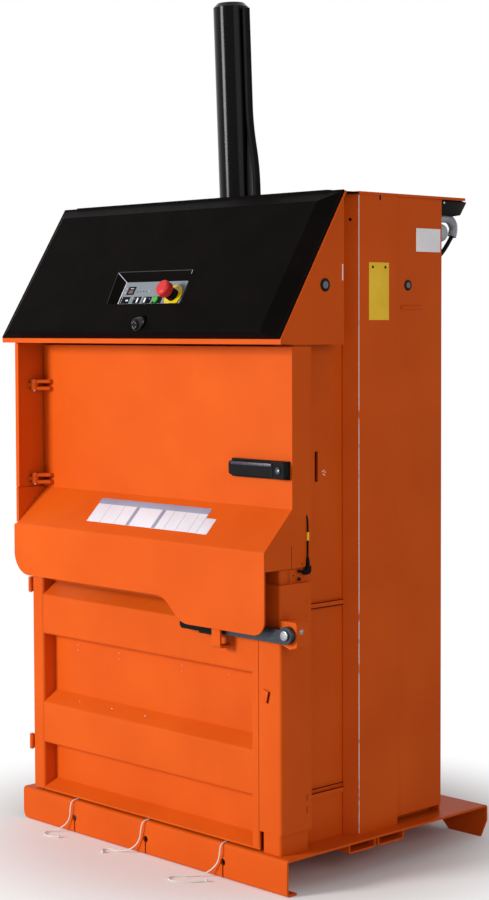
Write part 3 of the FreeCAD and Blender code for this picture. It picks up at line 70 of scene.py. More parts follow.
camera = bpy.data.objects.new("camera", bpy.data.cameras.new("camera"))
turn = Matrix((picture_right, picture_up, -ahead)).transposed().to_4x4()
camera.matrix_world = Matrix.Translation((3.25145, -3.12230, 1.22663)) @ turn
camera.data.lens = 74.87
camera.data.sensor_width = 36
camera.data.shift_x = 0.0024
camera.data.shift_y = -0.0324
camera.data.clip_end = 60
bpy.context.scene.collection.objects.link(camera)
bpy.context.scene.camera = camera
bpy.context.scene.view_settings.view_transform = "Standard"
print("camera looks", tuple(round(c, 3) for c in ahead))


# %% [markdown]
# ## Mixing finishes
#
# Every finish starts from a Principled shader. Object coordinates are the
# real position in metres, so a noise scale of 900 makes a grain of about a
# millimetre on any piece. Two noises are enough for most sheet metal: a broad
# one that shifts the colour a little, and a fine one that dents the surface
# as paint does when it dries.

# %% Helpers for finishes
def shade(red, green, blue):
    """A colour read on a screen, 0 to 255, as the linear numbers that a shader wants."""
    return tuple(c / 12.92 if c <= 0.04045 else ((c + 0.055) / 1.055) ** 2.4
                 for c in (red / 255, green / 255, blue / 255))


def blank_finish(name):
    material = bpy.data.materials.new(name)
    material.use_nodes = True
    nodes, links = material.node_tree.nodes, material.node_tree.links
    return material, nodes, links, nodes["Principled BSDF"]


def grain(nodes, links, scale, detail=2.0, stretch=(1, 1, 1)):
    """Noise at a real scale, longer along the axes whose stretch is small."""
    place = nodes.new("ShaderNodeTexCoord")
    mapping = nodes.new("ShaderNodeMapping")
    mapping.inputs["Scale"].default_value = stretch
    noise = nodes.new("ShaderNodeTexNoise")
    noise.inputs["Scale"].default_value = scale
    noise.inputs["Detail"].default_value = detail
    links.new(place.outputs["Object"], mapping.inputs["Vector"])
    links.new(mapping.outputs["Vector"], noise.inputs["Vector"])
    return noise.outputs["Fac"]


def blend_colours(nodes, links, factor, low, high, first, second):
    """A ramp from one colour to another between two noise levels."""
    ramp = nodes.new("ShaderNodeValToRGB")
    ramp.color_ramp.elements[0].position = low
    ramp.color_ramp.elements[1].position = high
    ramp.color_ramp.elements[0].color = (*first, 1)
    ramp.color_ramp.elements[1].color = (*second, 1)
    links.new(factor, ramp.inputs["Fac"])
    return ramp.outputs["Color"]


def dent(nodes, links, shader, height, strength, depth):
    bump = nodes.new("ShaderNodeBump")
    bump.inputs["Strength"].default_value = strength
    bump.inputs["Distance"].default_value = depth
    links.new(height, bump.inputs["Height"])
    links.new(bump.outputs["Normal"], shader.inputs["Normal"])


def vary_roughness(nodes, links, shader, factor, smooth, rough):
    spread = nodes.new("ShaderNodeMapRange")
    spread.inputs["To Min"].default_value = smooth
    spread.inputs["To Max"].default_value = rough
    links.new(factor, spread.inputs["Value"])
    links.new(spread.outputs["Result"], shader.inputs["Roughness"])


# %% [markdown]
# ## Powder coat
#
# Powder is sprayed dry and melted on, so it leaves a satin skin with a faint
# orange-peel texture. The colour wanders by a few percent from sheet to
# sheet. The same recipe serves the black and grey paints.

# %% Painted steel
def powder_coat(name, colour, deeper, smooth=0.36, rough=0.52, peel=0.05, specular=0.08, mirror=1.0):
    material, nodes, links, shader = blank_finish(name)
    broad = grain(nodes, links, 5, 3)
    links.new(blend_colours(nodes, links, broad, 0.35, 0.7, deeper, colour), shader.inputs["Base Color"])
    vary_roughness(nodes, links, shader, grain(nodes, links, 60, 3), smooth, rough)
    dent(nodes, links, shader, grain(nodes, links, 700, 1), peel, 0.0004)
    shader.inputs["Specular IOR Level"].default_value = specular
    shader.inputs["Specular Tint"].default_value = (mirror, mirror, mirror, 1)
    return material


orange = powder_coat("orange_powder_coat", shade(212, 87, 19), shade(204, 80, 15))
black_gloss = powder_coat("black_gloss_paint", shade(9, 8, 9), shade(5, 5, 6), 0.1, 0.2, 0.03, 0.3, 0.25)
grey_enamel = powder_coat("grey_enamel", shade(120, 124, 127), shade(108, 112, 115), 0.3, 0.45)
panel_print = powder_coat("grey_panel_print", shade(130, 136, 142), shade(122, 128, 134), 0.45, 0.6, 0.02)
print("paints:", orange.name, black_gloss.name, grey_enamel.name, panel_print.name)


# %% [markdown]
# ## Metals
#
# Bare steel keeps the direction it was ground or rolled in. The noise is
# squeezed across that direction, so it turns into long fine lines. Metals
# have no colour of their own besides the tint of what they mirror.

# %% Bare and plated metals
def brushed_metal(name, colour, darker, stretch, smooth=0.25, rough=0.45):
    material, nodes, links, shader = blank_finish(name)
    lines = grain(nodes, links, 120, 4, stretch)
    links.new(blend_colours(nodes, links, lines, 0.3, 0.7, darker, colour), shader.inputs["Base Color"])
    vary_roughness(nodes, links, shader, lines, smooth, rough)
    dent(nodes, links, shader, lines, 0.08, 0.0003)
    shader.inputs["Metallic"].default_value = 1
    return material


rolled_steel = brushed_metal("rolled_steel", shade(176, 178, 180), shade(150, 152, 155), (1, 12, 12))
ground_rod = brushed_metal("ground_rod", shade(205, 206, 208), shade(188, 190, 193), (12, 12, 1), 0.12, 0.22)
zinc_plate = brushed_metal("zinc_plate", shade(196, 198, 198), shade(160, 163, 165), (3, 3, 3), 0.25, 0.4)
lever_steel = brushed_metal("blackened_steel", shade(74, 80, 88), shade(52, 56, 62), (2, 6, 9), 0.3, 0.45)
print("metals:", rolled_steel.name, ground_rod.name, zinc_plate.name, lever_steel.name)


# %% [markdown]
# ## Mouldings
#
# The hood is a thermoformed sheet with a fine leather-like grain, the knobs
# are smooth injection mouldings. The grain is a Voronoi pattern, whose cells
# look like the pebbles of a textured mould.

# %% Plastics and rubber
def moulding(name, colour, deeper, smooth, rough, pebbles=0.0, coat=0.0, specular=0.3):
    material, nodes, links, shader = blank_finish(name)
    broad = grain(nodes, links, 14, 3)
    links.new(blend_colours(nodes, links, broad, 0.35, 0.7, deeper, colour), shader.inputs["Base Color"])
    vary_roughness(nodes, links, shader, grain(nodes, links, 90, 2), smooth, rough)
    if pebbles:
        place = nodes.new("ShaderNodeTexCoord")
        cells = nodes.new("ShaderNodeTexVoronoi")
        cells.inputs["Scale"].default_value = 900
        links.new(place.outputs["Object"], cells.inputs["Vector"])
        dent(nodes, links, shader, cells.outputs["Distance"], pebbles, 0.0004)
    else:
        dent(nodes, links, shader, grain(nodes, links, 300, 2), 0.03, 0.0003)
    shader.inputs["Coat Weight"].default_value = coat
    shader.inputs["Specular IOR Level"].default_value = specular
    shader.inputs["Coat Roughness"].default_value = 0.12
    return material


hood_black = moulding("hood_black", shade(15, 11, 11), shade(11, 8, 8), 0.42, 0.55, 0.2, 0.0, 0.01)
knob_black = moulding("knob_black", shade(19, 18, 19), shade(13, 13, 14), 0.3, 0.45, 0.1, 0.0, 0.08)
rubber = moulding("rubber", shade(17, 16, 18), shade(12, 12, 13), 0.45, 0.6, 0.12, 0.0, 0.05)
stop_red = moulding("stop_red", shade(206, 44, 44), shade(190, 36, 38), 0.4, 0.5, 0, 0)
collar_yellow = moulding("collar_yellow", shade(232, 200, 20), shade(222, 188, 12), 0.25, 0.38, 0, 0.2)
start_green = moulding("start_green", shade(66, 190, 30), shade(50, 168, 24), 0.2, 0.3, 0, 0.3)
conduit_grey = moulding("conduit_grey", shade(176, 179, 186), shade(158, 161, 170), 0.4, 0.55, 0, 0, 0.15)
print("mouldings:", hood_black.name, knob_black.name, rubber.name)


# %% [markdown]
# ## Twine
#
# Bale twine is spun from white polyester. Its fibres lie at a slant, so the
# finish mixes a fine noise into the colour and the bump. A little sheen
# stands in for the loose hairs.

# %% Twine finish
def spun_fibre(name, colour, deeper):
    material, nodes, links, shader = blank_finish(name)
    fibres = grain(nodes, links, 900, 3, (1, 1, 0.4))
    links.new(blend_colours(nodes, links, fibres, 0.3, 0.7, deeper, colour), shader.inputs["Base Color"])
    vary_roughness(nodes, links, shader, fibres, 0.75, 0.95)
    dent(nodes, links, shader, fibres, 0.5, 0.0006)
    shader.inputs["Sheen Weight"].default_value = 0.3
    return material


white_twine = spun_fibre("white_twine", shade(236, 233, 226), shade(196, 190, 180))

# %% [markdown]
# ## The three twines
#
# Each twine runs under the chamber floor, comes out through a keyhole in the
# base's front edge and lies on the floor in a small loop with a knotted end.
# A NURBS spline takes the route's points as its control points, so the line
# bends smoothly and never has a corner. The order has to be set after the
# points, or Blender keeps it at straight runs.

# %% Twines
keyhole_step = 0.262
twine_radius = 0.0015
knot_radius, knot_height = 0.0038, 0.0036
twine_routes = {
    "twine_left": [(0, 78, 82), (3, 46, 82.1), (-1, 16, 82), (-3, -7, 80), (-5, -9, 58), (-10, -6, 36),
                   (-22, -12, 17), (-38, -26, 5), (-54, -44, 2), (-40, -62, 2.2), (-16, -66, 2),
                   (4, -56, 2)],
    "twine_middle": [(0, 78, 82), (-3, 47, 82.1), (1, 17, 82), (-2, -7, 80), (-6, -9, 58), (-12, -6, 37),
                     (-24, -10, 18), (-40, -22, 6), (-66, -32, 2), (-92, -30, 2.2), (-104, -48, 2),
                     (-84, -60, 2)],
    "twine_right": [(0, 78, 82), (2, 46, 82.1), (-1, 16, 82), (1, -7, 80), (0, -9, 58), (-8, -6, 38),
                    (-22, -9, 20), (-38, -22, 6), (-62, -48, 2), (-90, -76, 2.2), (-78, -96, 2),
                    (-48, -94, 2.2), (-22, -74, 2), (-8, -46, 2)],
}


def smooth_line(name, points, radius, finish):
    """A round NURBS line: its bevel is one metre deep and each point scales it to the radius."""
    curve = bpy.data.curves.new(name, "CURVE")
    curve.dimensions = "3D"
    spline = curve.splines.new("NURBS")
    spline.points.add(len(points) - 1)
    for point, place in zip(spline.points, points):
        point.co = (*place, 1)
        point.radius = radius
    spline.order_u = 3
    spline.use_endpoint_u = True
    spline.resolution_u = 8
    curve.bevel_depth = 1
    curve.bevel_resolution = 3
    curve.use_fill_caps = True
    curve.materials.append(finish)
    line = bpy.data.objects.new(name, curve)
    bpy.context.scene.collection.objects.link(line)
    return line


def middle_line(line):
    """A mesh of the points along the line's middle, read with the bevel off."""
    line.data.bevel_depth = 0
    bpy.context.view_layer.update()
    return bpy.data.meshes.new_from_object(line.evaluated_get(bpy.context.evaluated_depsgraph_get()))


def measured_length(line):
    mesh = middle_line(line)
    pairs = [[mesh.vertices[index].co for index in edge.vertices] for edge in mesh.edges]
    total = sum((near - far).length for near, far in pairs)
    bpy.data.meshes.remove(mesh)
    line.data.bevel_depth = 1
    return total


def ball(name, centre, radius, squash, finish, body):
    """A small round piece, flattened a little where it lies."""
    mesh = bmesh.new()
    bmesh.ops.create_icosphere(mesh, subdivisions=3, radius=radius)
    bmesh.ops.scale(mesh, vec=(1, 1, squash), verts=mesh.verts)
    bmesh.ops.translate(mesh, vec=centre, verts=mesh.verts)
    return finish_piece(name, mesh, finish, body)


def finish_piece(name, mesh, finish, body, smooth=True):
    """Turn a bmesh into a finished piece that rides on a body."""
    data = bpy.data.meshes.new(name)
    bmesh.ops.recalc_face_normals(mesh, faces=mesh.faces)
    mesh.to_mesh(data)
    mesh.free()
    for polygon in data.polygons:
        polygon.use_smooth = smooth
    data.materials.append(finish)
    piece = bpy.data.objects.new(name, data)
    bpy.context.scene.collection.objects.link(piece)
    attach(piece, body)
    return piece


for offset, (name, route) in zip((-keyhole_step, 0, keyhole_step), twine_routes.items()):
    points = [(offset + x / 1000, front + y / 1000, z / 1000) for x, y, z in route]
    twine = smooth_line(name + "_line", points, twine_radius, white_twine)
    before, end = Vector(points[-2]), Vector(points[-1])
    tied = end + (end - before).normalized() * knot_height
    knot = ball(name + "_knot", (tied.x, tied.y, knot_height), knot_radius, 0.9, white_twine, "frame")
    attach(twine, "frame")
    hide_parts(name)
    length = measured_length(twine)
    print(name, "is", round(length * 1000), "mm long")

# %% [markdown]
# ## Finishes for the solids
#
# The record already says what each solid is made of. One table goes from its
# material slot to a finish here, and a few pieces that are made differently
# from the rest of their slot come after it.

# %% Dress the solids
finish_of_slot = {
    "orange_paint": orange, "black_moulding": hood_black, "black_paint": black_gloss,
    "panel_grey": panel_print, "steel": rolled_steel, "red_plastic": stop_red,
    "yellow_plastic": collar_yellow, "green_plastic": start_green, "black_plastic": knob_black,
    "grey_paint": grey_enamel, "rubber": rubber, "twine": white_twine,
}
finish_of_node = {part["node"]: finish_of_slot[part["material_slot"]] for part in frame["record"]["subparts"]}
finish_of_node.update({
    "piston_rod": ground_rod, "cylinder_gland": ground_rod, "lock_lever": lever_steel,
    "lever_keeper": orange, "lever_grip": rubber, "handle_lock": lever_steel, "hinge_pins": zinc_plate,
})
for name, node in frame["nodes"].items():
    node.data.materials.clear()
    node.data.materials.append(finish_of_node[name])
print("dressed", len(frame["nodes"]), "solids")

# %% [markdown]
# ## Small pieces in millimetres
#
# The rest of the lesson adds what a CAD model leaves out: plugs, plates,
# wiring and weld marks. Each is shaped in millimetres and then laid on what
# carries it by one matrix, for the machine itself, for the sloping hood, for
# the control panel, which is a little steeper, and for the slanted apron of
# the upper door. The faces on the right side are named once, by how far they
# lie from the machine's middle.

# %% Places on the machine
def lay(across, depth, height, angle):
    """The matrix that lays millimetres on a face that climbs at an angle."""
    return (Matrix.Translation((across, front + depth, height)) @ Matrix.Rotation(math.radians(angle), 4, "X")
            @ Matrix.Scale(0.001, 4))


hood_slope, panel_slope, apron_slope = 57.916, 60.216, 45.336
on_machine = lay(0, 0, 0, 0)
on_hood = lay(0, -0.036, 1.197, hood_slope)
on_panel = lay(0, -0.00213, 1.2755, panel_slope)
on_apron = lay(0, -0.03951, 0.7445, apron_slope)

to_right, to_front, to_back, upwards = (1, 0, 0), (0, -1, 0), (0, 1, 0), (0, 0, 1)
wall_face, strap_face, rear_face, column_face = 395, 401, 425, 428
cheek_face, flange_face, post_cover_face, door_cover_face = 435, 436, 439, 440


def round_edges(mesh, edges, offset, segments=2):
    bmesh.ops.bevel(mesh, geom=edges, offset=offset, affect="EDGES", segments=segments, profile=0.5,
                    material=-1)


def block(low, high, edge=0.4):
    """A box between two corners, its edges rounded."""
    size = [top - bottom for bottom, top in zip(low, high)]
    middle = [(top + bottom) / 2 for bottom, top in zip(low, high)]
    mesh = bmesh.new()
    bmesh.ops.create_cube(mesh, size=1)
    bmesh.ops.scale(mesh, vec=size, verts=mesh.verts)
    round_edges(mesh, mesh.edges[:], min(edge, 0.3 * min(size)))
    bmesh.ops.translate(mesh, vec=middle, verts=mesh.verts)
    return mesh


def stud(foot, along, radius, length, edge=0.5, tip=None):
    """A round piece that stands at its foot and points along a direction."""
    mesh = bmesh.new()
    bmesh.ops.create_cone(mesh, cap_ends=True, segments=40, radius1=radius, radius2=tip or radius,
                          depth=length)
    rims = [e for e in mesh.edges if abs(e.verts[0].co.z - e.verts[1].co.z) < length / 100]
    round_edges(mesh, rims, edge, 3)
    bmesh.ops.translate(mesh, vec=(0, 0, length / 2), verts=mesh.verts)
    aim = Vector(along).to_track_quat("Z", "Y").to_matrix().to_4x4()
    bmesh.ops.transform(mesh, matrix=Matrix.Translation(foot) @ aim, verts=mesh.verts)
    return mesh


def push_out(mesh, faces, push):
    """Thicken flat faces: a copy of them moves away and the sides close between."""
    grown = bmesh.ops.extrude_face_region(mesh, geom=faces, use_keep_orig=True)
    moved = [v for v in grown["geom"] if isinstance(v, bmesh.types.BMVert)]
    bmesh.ops.translate(mesh, vec=push, verts=moved)


def prism(outline, push):
    """A flat outline of corners pushed out into a solid."""
    mesh = bmesh.new()
    face = mesh.faces.new([mesh.verts.new(corner) for corner in outline])
    push_out(mesh, [face], push)
    return mesh


def bridge_rings(mesh, sides, closed=False):
    """Stretch a skin from each circle of edges to the next, in the order they were made."""
    mesh.edges.ensure_lookup_table()
    rings = [mesh.edges[first:first + sides] for first in range(0, len(mesh.edges), sides)]
    following = rings[1:] + rings[:1] if closed else rings[1:]
    for near, far in zip(rings, following):
        bmesh.ops.bridge_loops(mesh, edges=near + far)


def add(name, mesh, place, finish, body="frame", smooth=True):
    """Lay a shape in its place and hand it to its body."""
    bmesh.ops.transform(mesh, matrix=place, verts=mesh.verts)
    piece = finish_piece(name, mesh, finish, body, smooth)
    return piece


print("the panel leans", panel_slope, "degrees, the hood", hood_slope)

# %% [markdown]
# ## Plates and prints
#
# The plates on the machine are thin, flat and bare. They are real sheets
# a millimetre thick or less, so their edges catch light as the real ones do.

# %% Finishes for plates, painted gap shade, painted hole shade and painted highlights
plate_white = moulding("plate_white", shade(250, 247, 248), shade(240, 236, 240), 0.45, 0.6, 0, 0, 0.1)
plate_grey = moulding("plate_grey", shade(190, 190, 206), shade(178, 178, 194), 0.45, 0.6, 0, 0, 0.1)
plate_yellow = moulding("plate_yellow", shade(250, 206, 66), shade(242, 194, 52), 0.4, 0.55, 0, 0, 0.1)
print_black = moulding("print_black", shade(20, 22, 28), shade(14, 15, 20), 0.4, 0.55, 0, 0, 0.03)
print_screen = moulding("print_screen", shade(120, 90, 92), shade(96, 74, 78), 0.4, 0.5, 0, 0, 0.1)
boss_black = moulding("boss_black", shade(16, 15, 16), shade(11, 11, 12), 0.15, 0.25, 0, 0.2, 0.3)
# Painted highlight for the rim of the hood's recess.
rim_highlight_grey = moulding("rim_highlight_grey", shade(52, 49, 51), shade(42, 40, 42), 0.3, 0.45)
# Painted shade for the gaps between sheets and for shaded sides.
gap_shadow = moulding("gap_shadow", shade(92, 24, 6), shade(74, 18, 4), 0.6, 0.8, 0, 0, 0.02)
# Painted shade for the inside of small holes and notches.
painted_hole_shade = moulding("painted_hole_shade", shade(20, 12, 10), shade(12, 8, 8), 0.6, 0.8, 0, 0, 0.05)
print("prints:", plate_white.name, plate_yellow.name, print_black.name)


def edge_highlight_finish():
    """Painted highlight: a near-white streak along an edge, in patches a few centimetres long."""
    material, nodes, links, shader = blank_finish("painted_edge_highlight")
    patches = grain(nodes, links, 60, 4, (1, 1, 0.35))
    colour = blend_colours(nodes, links, patches, 0.36, 0.44, shade(228, 91, 30), shade(240, 224, 216))
    links.new(colour, shader.inputs["Base Color"])
    vary_roughness(nodes, links, shader, patches, 0.5, 0.7)
    return material


painted_edge_highlight = edge_highlight_finish()

# %% [markdown]
# ## The control panel's keys and marks
#
# The grey panel carries a dark display, four dark keys and a row of pinhole
# lamps. All of them are printed or pressed from behind a film, so they stand
# out by less than a millimetre. The start key is dark film round a green
# button, so its film is a plate with a round hole: two loops of edges, filled
# between, and pushed up.

# %% Keys, display and lamps
key_height = 0.6
films = {
    "panel_display": ((-68, 25), (-42, 46.5)),
    "panel_key_left": ((-80.5, 1.5), (-48.5, 19.6)),
    "panel_key_down": ((-34, 1.5), (-9, 19.4)),
    "panel_key_up": ((-0.5, 1.5), (27.5, 19.2)),
}
for name, (low, high) in films.items():
    add(name, block((*low, 0), (*high, key_height)), on_panel, print_black)

marks = {
    "display_window": ((-62, 28.5), (-46.5, 37), print_screen),
    "display_bar": ((-60, 40.5), (-48, 42.5), plate_grey),
    "key_down_bar": ((-22.5, 4), (-17.5, 16.5), plate_white),
    "key_up_bar": ((3.5, 4), (9, 16.5), plate_white),
    "key_left_bar": ((-60, 8.2), (-52, 11.6), plate_white),
    "key_down_tick": ((-31, 13), (-28.5, 15), plate_grey),
    "key_up_tick": ((20, 13), (22.5, 15), plate_grey),
    "panel_edge_left": ((-84, 0), (-82.6, 59), plate_white),
    "panel_edge_low": ((-82.6, 0), (129, 1), plate_white),
}
for name, (low, high, finish) in marks.items():
    add(name, block((*low, 0), (*high, key_height + 0.3), 0.2), on_panel, finish)

dark_lamps = [(-31, 32.5), (-21, 32.6), (-11, 33), (-1, 33.4)]
pale_marks = [(8.7, 34.1), (-73, 41.2), (-73.6, 30.5), (-75.3, 16.5), (-74.8, 10.2), (-76.7, 5.4)]
for number, (x, y) in enumerate(dark_lamps + pale_marks):
    dot = stud((x, y, 0), upwards, 1.1, 0.9, 0.2)
    finish = print_black if number < len(dark_lamps) else plate_white
    add(f"panel_mark_{number}", dot, on_panel, finish)

start_film = bmesh.new()
rim = [start_film.verts.new((x, y, 0)) for x, y in ((33.5, 1.5), (64, 1.5), (64, 19.6), (33.5, 19.6))]
for first, second in zip(rim, rim[1:] + rim[:1]):
    start_film.edges.new((first, second))
start_hole = Matrix.Translation((44.9, 10.5, 0))
bmesh.ops.create_circle(start_film, segments=40, radius=8.4, matrix=start_hole)
bmesh.ops.triangle_fill(start_film, use_beauty=True, edges=start_film.edges[:])
push_out(start_film, start_film.faces[:], (0, 0, key_height))
add("panel_key_start", start_film, on_panel, print_black, smooth=False)
print("films:", len(films) + 1, "lamps:", len(dark_lamps), "pale marks:", len(pale_marks))

# %% [markdown]
# ## The strip on the apron
#
# A long white strip is stuck on the slanted part of the upper door. It has a
# grey band along its top, thin lines between its fields and two wide grey
# bars.

# %% Strip on the upper door
# The strip's white and grey are painted shade: darker copies of the plate white and grey, offsetting the
# stronger light on the front.
shaded_strip_white = moulding("shaded_strip_white", shade(222, 218, 224), shade(214, 209, 216), 0.4, 0.55, 0, 0, 0.1)
shaded_strip_grey = moulding("shaded_strip_grey", shade(152, 150, 170), shade(142, 140, 160), 0.4, 0.55, 0, 0, 0.1)
strip_fields = {
    "strip_sheet": ((-184, 30.5), (199, 102), 0.4, shaded_strip_white),
    "strip_tag": ((199, 30), (233, 74.5), 0.4, shaded_strip_white),
    "strip_band": ((-184, 85), (199, 102), 0.6, shaded_strip_grey),
    "strip_bar_left": ((-44, 31), (-32, 85), 0.6, shaded_strip_grey),
    "strip_bar_right": ((46, 31), (58, 85), 0.6, shaded_strip_grey),
}
for number, x in enumerate((-137, -86, 88, 128, 170, 198.6)):
    strip_fields[f"strip_line_{number}"] = ((x, 31), (x + 0.9, 85), 0.6, shaded_strip_grey)
for name, (low, high, thick, finish) in strip_fields.items():
    add(name, block((*low, 0), (*high, thick), 0.1), on_apron, finish, "upper_door")
print("the strip has", len(strip_fields), "fields, bars and lines")

# %% [markdown]
# ## Round the stop button and the lock
#
# A black sleeve stands between the yellow plate and the red head, and ends
# where the pressed head stops. The lock sits in a boss that is moulded out of
# the hood: a round foot on the slope and a smaller round mouth that faces
# straight forwards. Bridging the two circles makes its flank.

# %% Sleeve, boss and painted highlights round the recess
ring_sides = 48
stop_x, stop_y = 101, 19.8
sleeve = bmesh.new()
for radius, height in ((14.2, 3.1), (14.9, 3.1), (14.9, 14.8), (14.2, 14.8)):
    place = Matrix.Translation((stop_x, stop_y, height))
    bmesh.ops.create_circle(sleeve, segments=ring_sides, radius=radius, matrix=place)
bridge_rings(sleeve, ring_sides, closed=True)
add("stop_sleeve", sleeve, on_panel, print_black)

lock_x, lock_z = 44.5, 1228.5
mouth_radius = 14.6
boss = bmesh.new()
foot = on_machine.inverted() @ on_hood @ Matrix.Translation((44, 28, 24.6))
bmesh.ops.create_circle(boss, segments=ring_sides, radius=20, matrix=foot)
for radius, depth in ((mouth_radius, -58), (12.9, -58), (12.9, -42)):
    facing = Matrix.Translation((lock_x, depth, lock_z)) @ Matrix.Rotation(math.radians(90), 4, "X")
    bmesh.ops.create_circle(boss, segments=ring_sides, radius=radius, matrix=facing)
bridge_rings(boss, ring_sides, closed=True)
add("lock_boss", boss, on_machine, boss_black)
for number, (x, z) in enumerate(((-5, 5), (5, 4), (-4, -5), (5, -5), (0, -8), (0, 8))):
    pin = stud((lock_x + x, -62.9, lock_z + z), to_front, 0.9, 0.5, 0.1)
    add(f"lock_pin_{number}", pin, on_machine, plate_grey, "key_lock")

# Thin rods of painted highlight trace the rim of the recess round the panel, and a pale rod is a painted
# glint at its corner.
recess_highlights = {
    "recess_edge_top": ((-119, 166, 25), (138.5, 166, 25), rim_highlight_grey, 0.8),
    "recess_edge_left": ((-119.4, 165, 25), (-106.5, 79, 25), rim_highlight_grey, 0.6),
    "recess_glint": ((139, 166, 24.8), (140.5, 156, 24.6), plate_grey, 0.8),
}
for name, (start, end, finish, radius) in recess_highlights.items():
    run = Vector(end) - Vector(start)
    add(name, stud(start, run, radius, run.length, 0.2), on_hood, finish)
# A pale rod of painted highlight on the corner of the recess wall.
panel_corner = Vector((-83.6, 58.6, 0.6))
hood_corner = on_panel.inverted() @ on_hood @ Vector((-117, 164, 24.6))
run = hood_corner - panel_corner
corner_highlight = stud(panel_corner, run, 0.9, run.length, 0.3)
add("recess_corner_highlight", corner_highlight, on_panel, plate_grey)
print("the boss's mouth is", 2 * mouth_radius, "mm across")

# %% [markdown]
# ## Bare plates and plugs on the right side
#
# Plastic plugs close two holes in the sheets, each a black ring with a grey
# middle. Beside them are a yellow plate, a white one and a few pressed or cut
# marks in the steel. The seams and the cut notch are strips of painted shade.

# %% Plates, plugs and pressed marks
yellow_plate = block((column_face, 298.3, 1237), (column_face + 1, 364.8, 1366))
add("plate_yellow_side", yellow_plate, on_machine, plate_yellow)
for number, y in enumerate((310.5, 352.3)):
    rivet = stud((column_face + 1, y, 1355.5), to_right, 3.2, 0.8)
    add(f"plate_rivet_{number}", rivet, on_machine, print_black)
white_back = block((rear_face, 457.5, 1389.5), (rear_face + 0.3, 549.5, 1451))
add("plate_white_back", white_back, on_machine, orange)
white_plate = block((rear_face + 0.3, 461.3, 1393.6), (rear_face + 1.2, 546.4, 1447))
add("plate_white_side", white_plate, on_machine, plate_white)

plugs = {"plug_cheek": (cheek_face, 149.6, 1313.5, 14.7), "plug_rear": (rear_face, 433.4, 1316.2, 12.4)}
for name, (face, y, z, radius) in plugs.items():
    ring = stud((face, y, z), to_right, radius, 1.6, 0.7)
    add(name + "_ring", ring, on_machine, knob_black)
    middle = stud((face + 1, y, z), to_right, radius * 0.56, 1.6, 0.6)
    add(name + "_middle", middle, on_machine, grey_enamel)

lap_top, seam_top = 1320, 1514
add("pressed_rib", stud((rear_face - 1.4, 409, 1264.9), to_back, 5.4, 74, 2), on_machine, orange)
add("rear_sheet_lap", block((rear_face, 395, 97), (rear_face + 2.6, 405.6, lap_top)), on_machine, orange)
# Strips of painted shade in the seams beside the column and the lapped sheet.
rear_seam_shades = {"seam_rear_upper": (395, lap_top, seam_top), "seam_rear_lower": (405.6, 97, lap_top)}
for name, (y, low, high) in rear_seam_shades.items():
    seam = block((rear_face - 0.1, y, low), (rear_face + 0.3, y + 2.2, high), 0.1)
    add(name, seam, on_machine, gap_shadow)
# A strip of painted shade in the notch at the column's top.
notch = block((column_face - 0.1, 333.8, 1505), (column_face + 0.3, 338.6, 1515.8), 0.1)
add("column_notch_shade", notch, on_machine, painted_hole_shade)
print("plugs:", len(plugs))

# %% [markdown]
# ## The slanted columns
#
# The front of each column is folded back at a slant, and its outer edge carries
# a strip of painted highlight in patches. The CAD column is a plain box, so a new one takes its
# place: the outline from above, pushed up to the top plate.

# %% Columns
column_foot, column_height = 80, 1436
column_outline = ((395, 245), (398, 245), (428, 266), (428, 395), (395, 395))
for side, name in ((1, "column_right"), (-1, "column_left")):
    corners = [(side * x, y, column_foot) for x, y in column_outline]
    column = add(name + "_folded", prism(corners, (0, 0, column_height)), on_machine, orange, smooth=False)
    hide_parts(name)
    middle = side * 427.4
    # A thin strip of painted highlight along the column's outer front edge.
    edge = block((middle - 0.9, 265, 84), (middle + 0.9, 267, 1514), 0.5)
    add(name + "_painted_edge_highlight", edge, on_machine, painted_edge_highlight)
# A dark disc of painted shade stands for a small hole in the slanted face.
slanted = (0.574, -0.82, 0)
add("column_hole_shade", stud((412, 254.8, 1459.7), slanted, 3.6, 0.4, 0.1), on_machine, painted_hole_shade)
print("each column stands", column_height, "mm tall")

# %% [markdown]
# ## Behind the machine
#
# Under the top plate's overhang hangs a black terminal housing. A ribbed
# conduit leaves its underside and bends into a round gland on the back, with
# a thinner black cable beside it. The ribs are a ripple of the tube's
# radius, so the tube is a ring bridged along points read from its own curve.

# %% Terminal housing and wiring
side_view = ((552, 1515.8), (628, 1515.8), (645, 1513), (622, 1482), (600, 1479), (552, 1480))
housing_left, housing_width = 300, 124
housing_right = housing_left + housing_width
housing = prism([(housing_left, y, z) for y, z in side_view], (housing_width, 0, 0))
round_edges(housing, housing.edges[:], 2)
add("terminal_housing", housing, on_machine, knob_black)
housing_screw = stud((housing_right, 562, 1509), to_right, 2.6, 1)
add("housing_screw", housing_screw, on_machine, plate_white)
wiring_x = 405
gland = stud((wiring_x, 551, 1440), to_back, 21, 27, 7)
add("conduit_gland", gland, on_machine, conduit_grey)


def route(name, points):
    """The points of a smooth NURBS line through the machine, in millimetres."""
    line = smooth_line(name, [on_machine @ Vector(p) for p in points], 0.001, conduit_grey)
    mesh = middle_line(line)
    places = [v.co.copy() for v in mesh.vertices]
    bpy.data.meshes.remove(mesh)
    bpy.data.objects.remove(line)
    return places


def hose(name, points, radius, finish, body="frame", ripple=0.0):
    """A closed tube along a smooth line, with a ripple of its radius if it is ribbed."""
    sides = 16
    places = route(name, points)
    last = len(places) - 1
    mesh = bmesh.new()
    for number, place in enumerate(places):
        along = places[min(number + 1, last)] - places[max(number - 1, 0)]
        across = Matrix.Translation(place) @ along.to_track_quat("Z", "X").to_matrix().to_4x4()
        size = (radius + ripple * (number % 2)) / 1000
        bmesh.ops.create_circle(mesh, segments=sides, radius=size, matrix=across,
                                cap_ends=number in (0, last))
    bridge_rings(mesh, sides)
    return add(name, mesh, Matrix.Identity(4), finish, body)


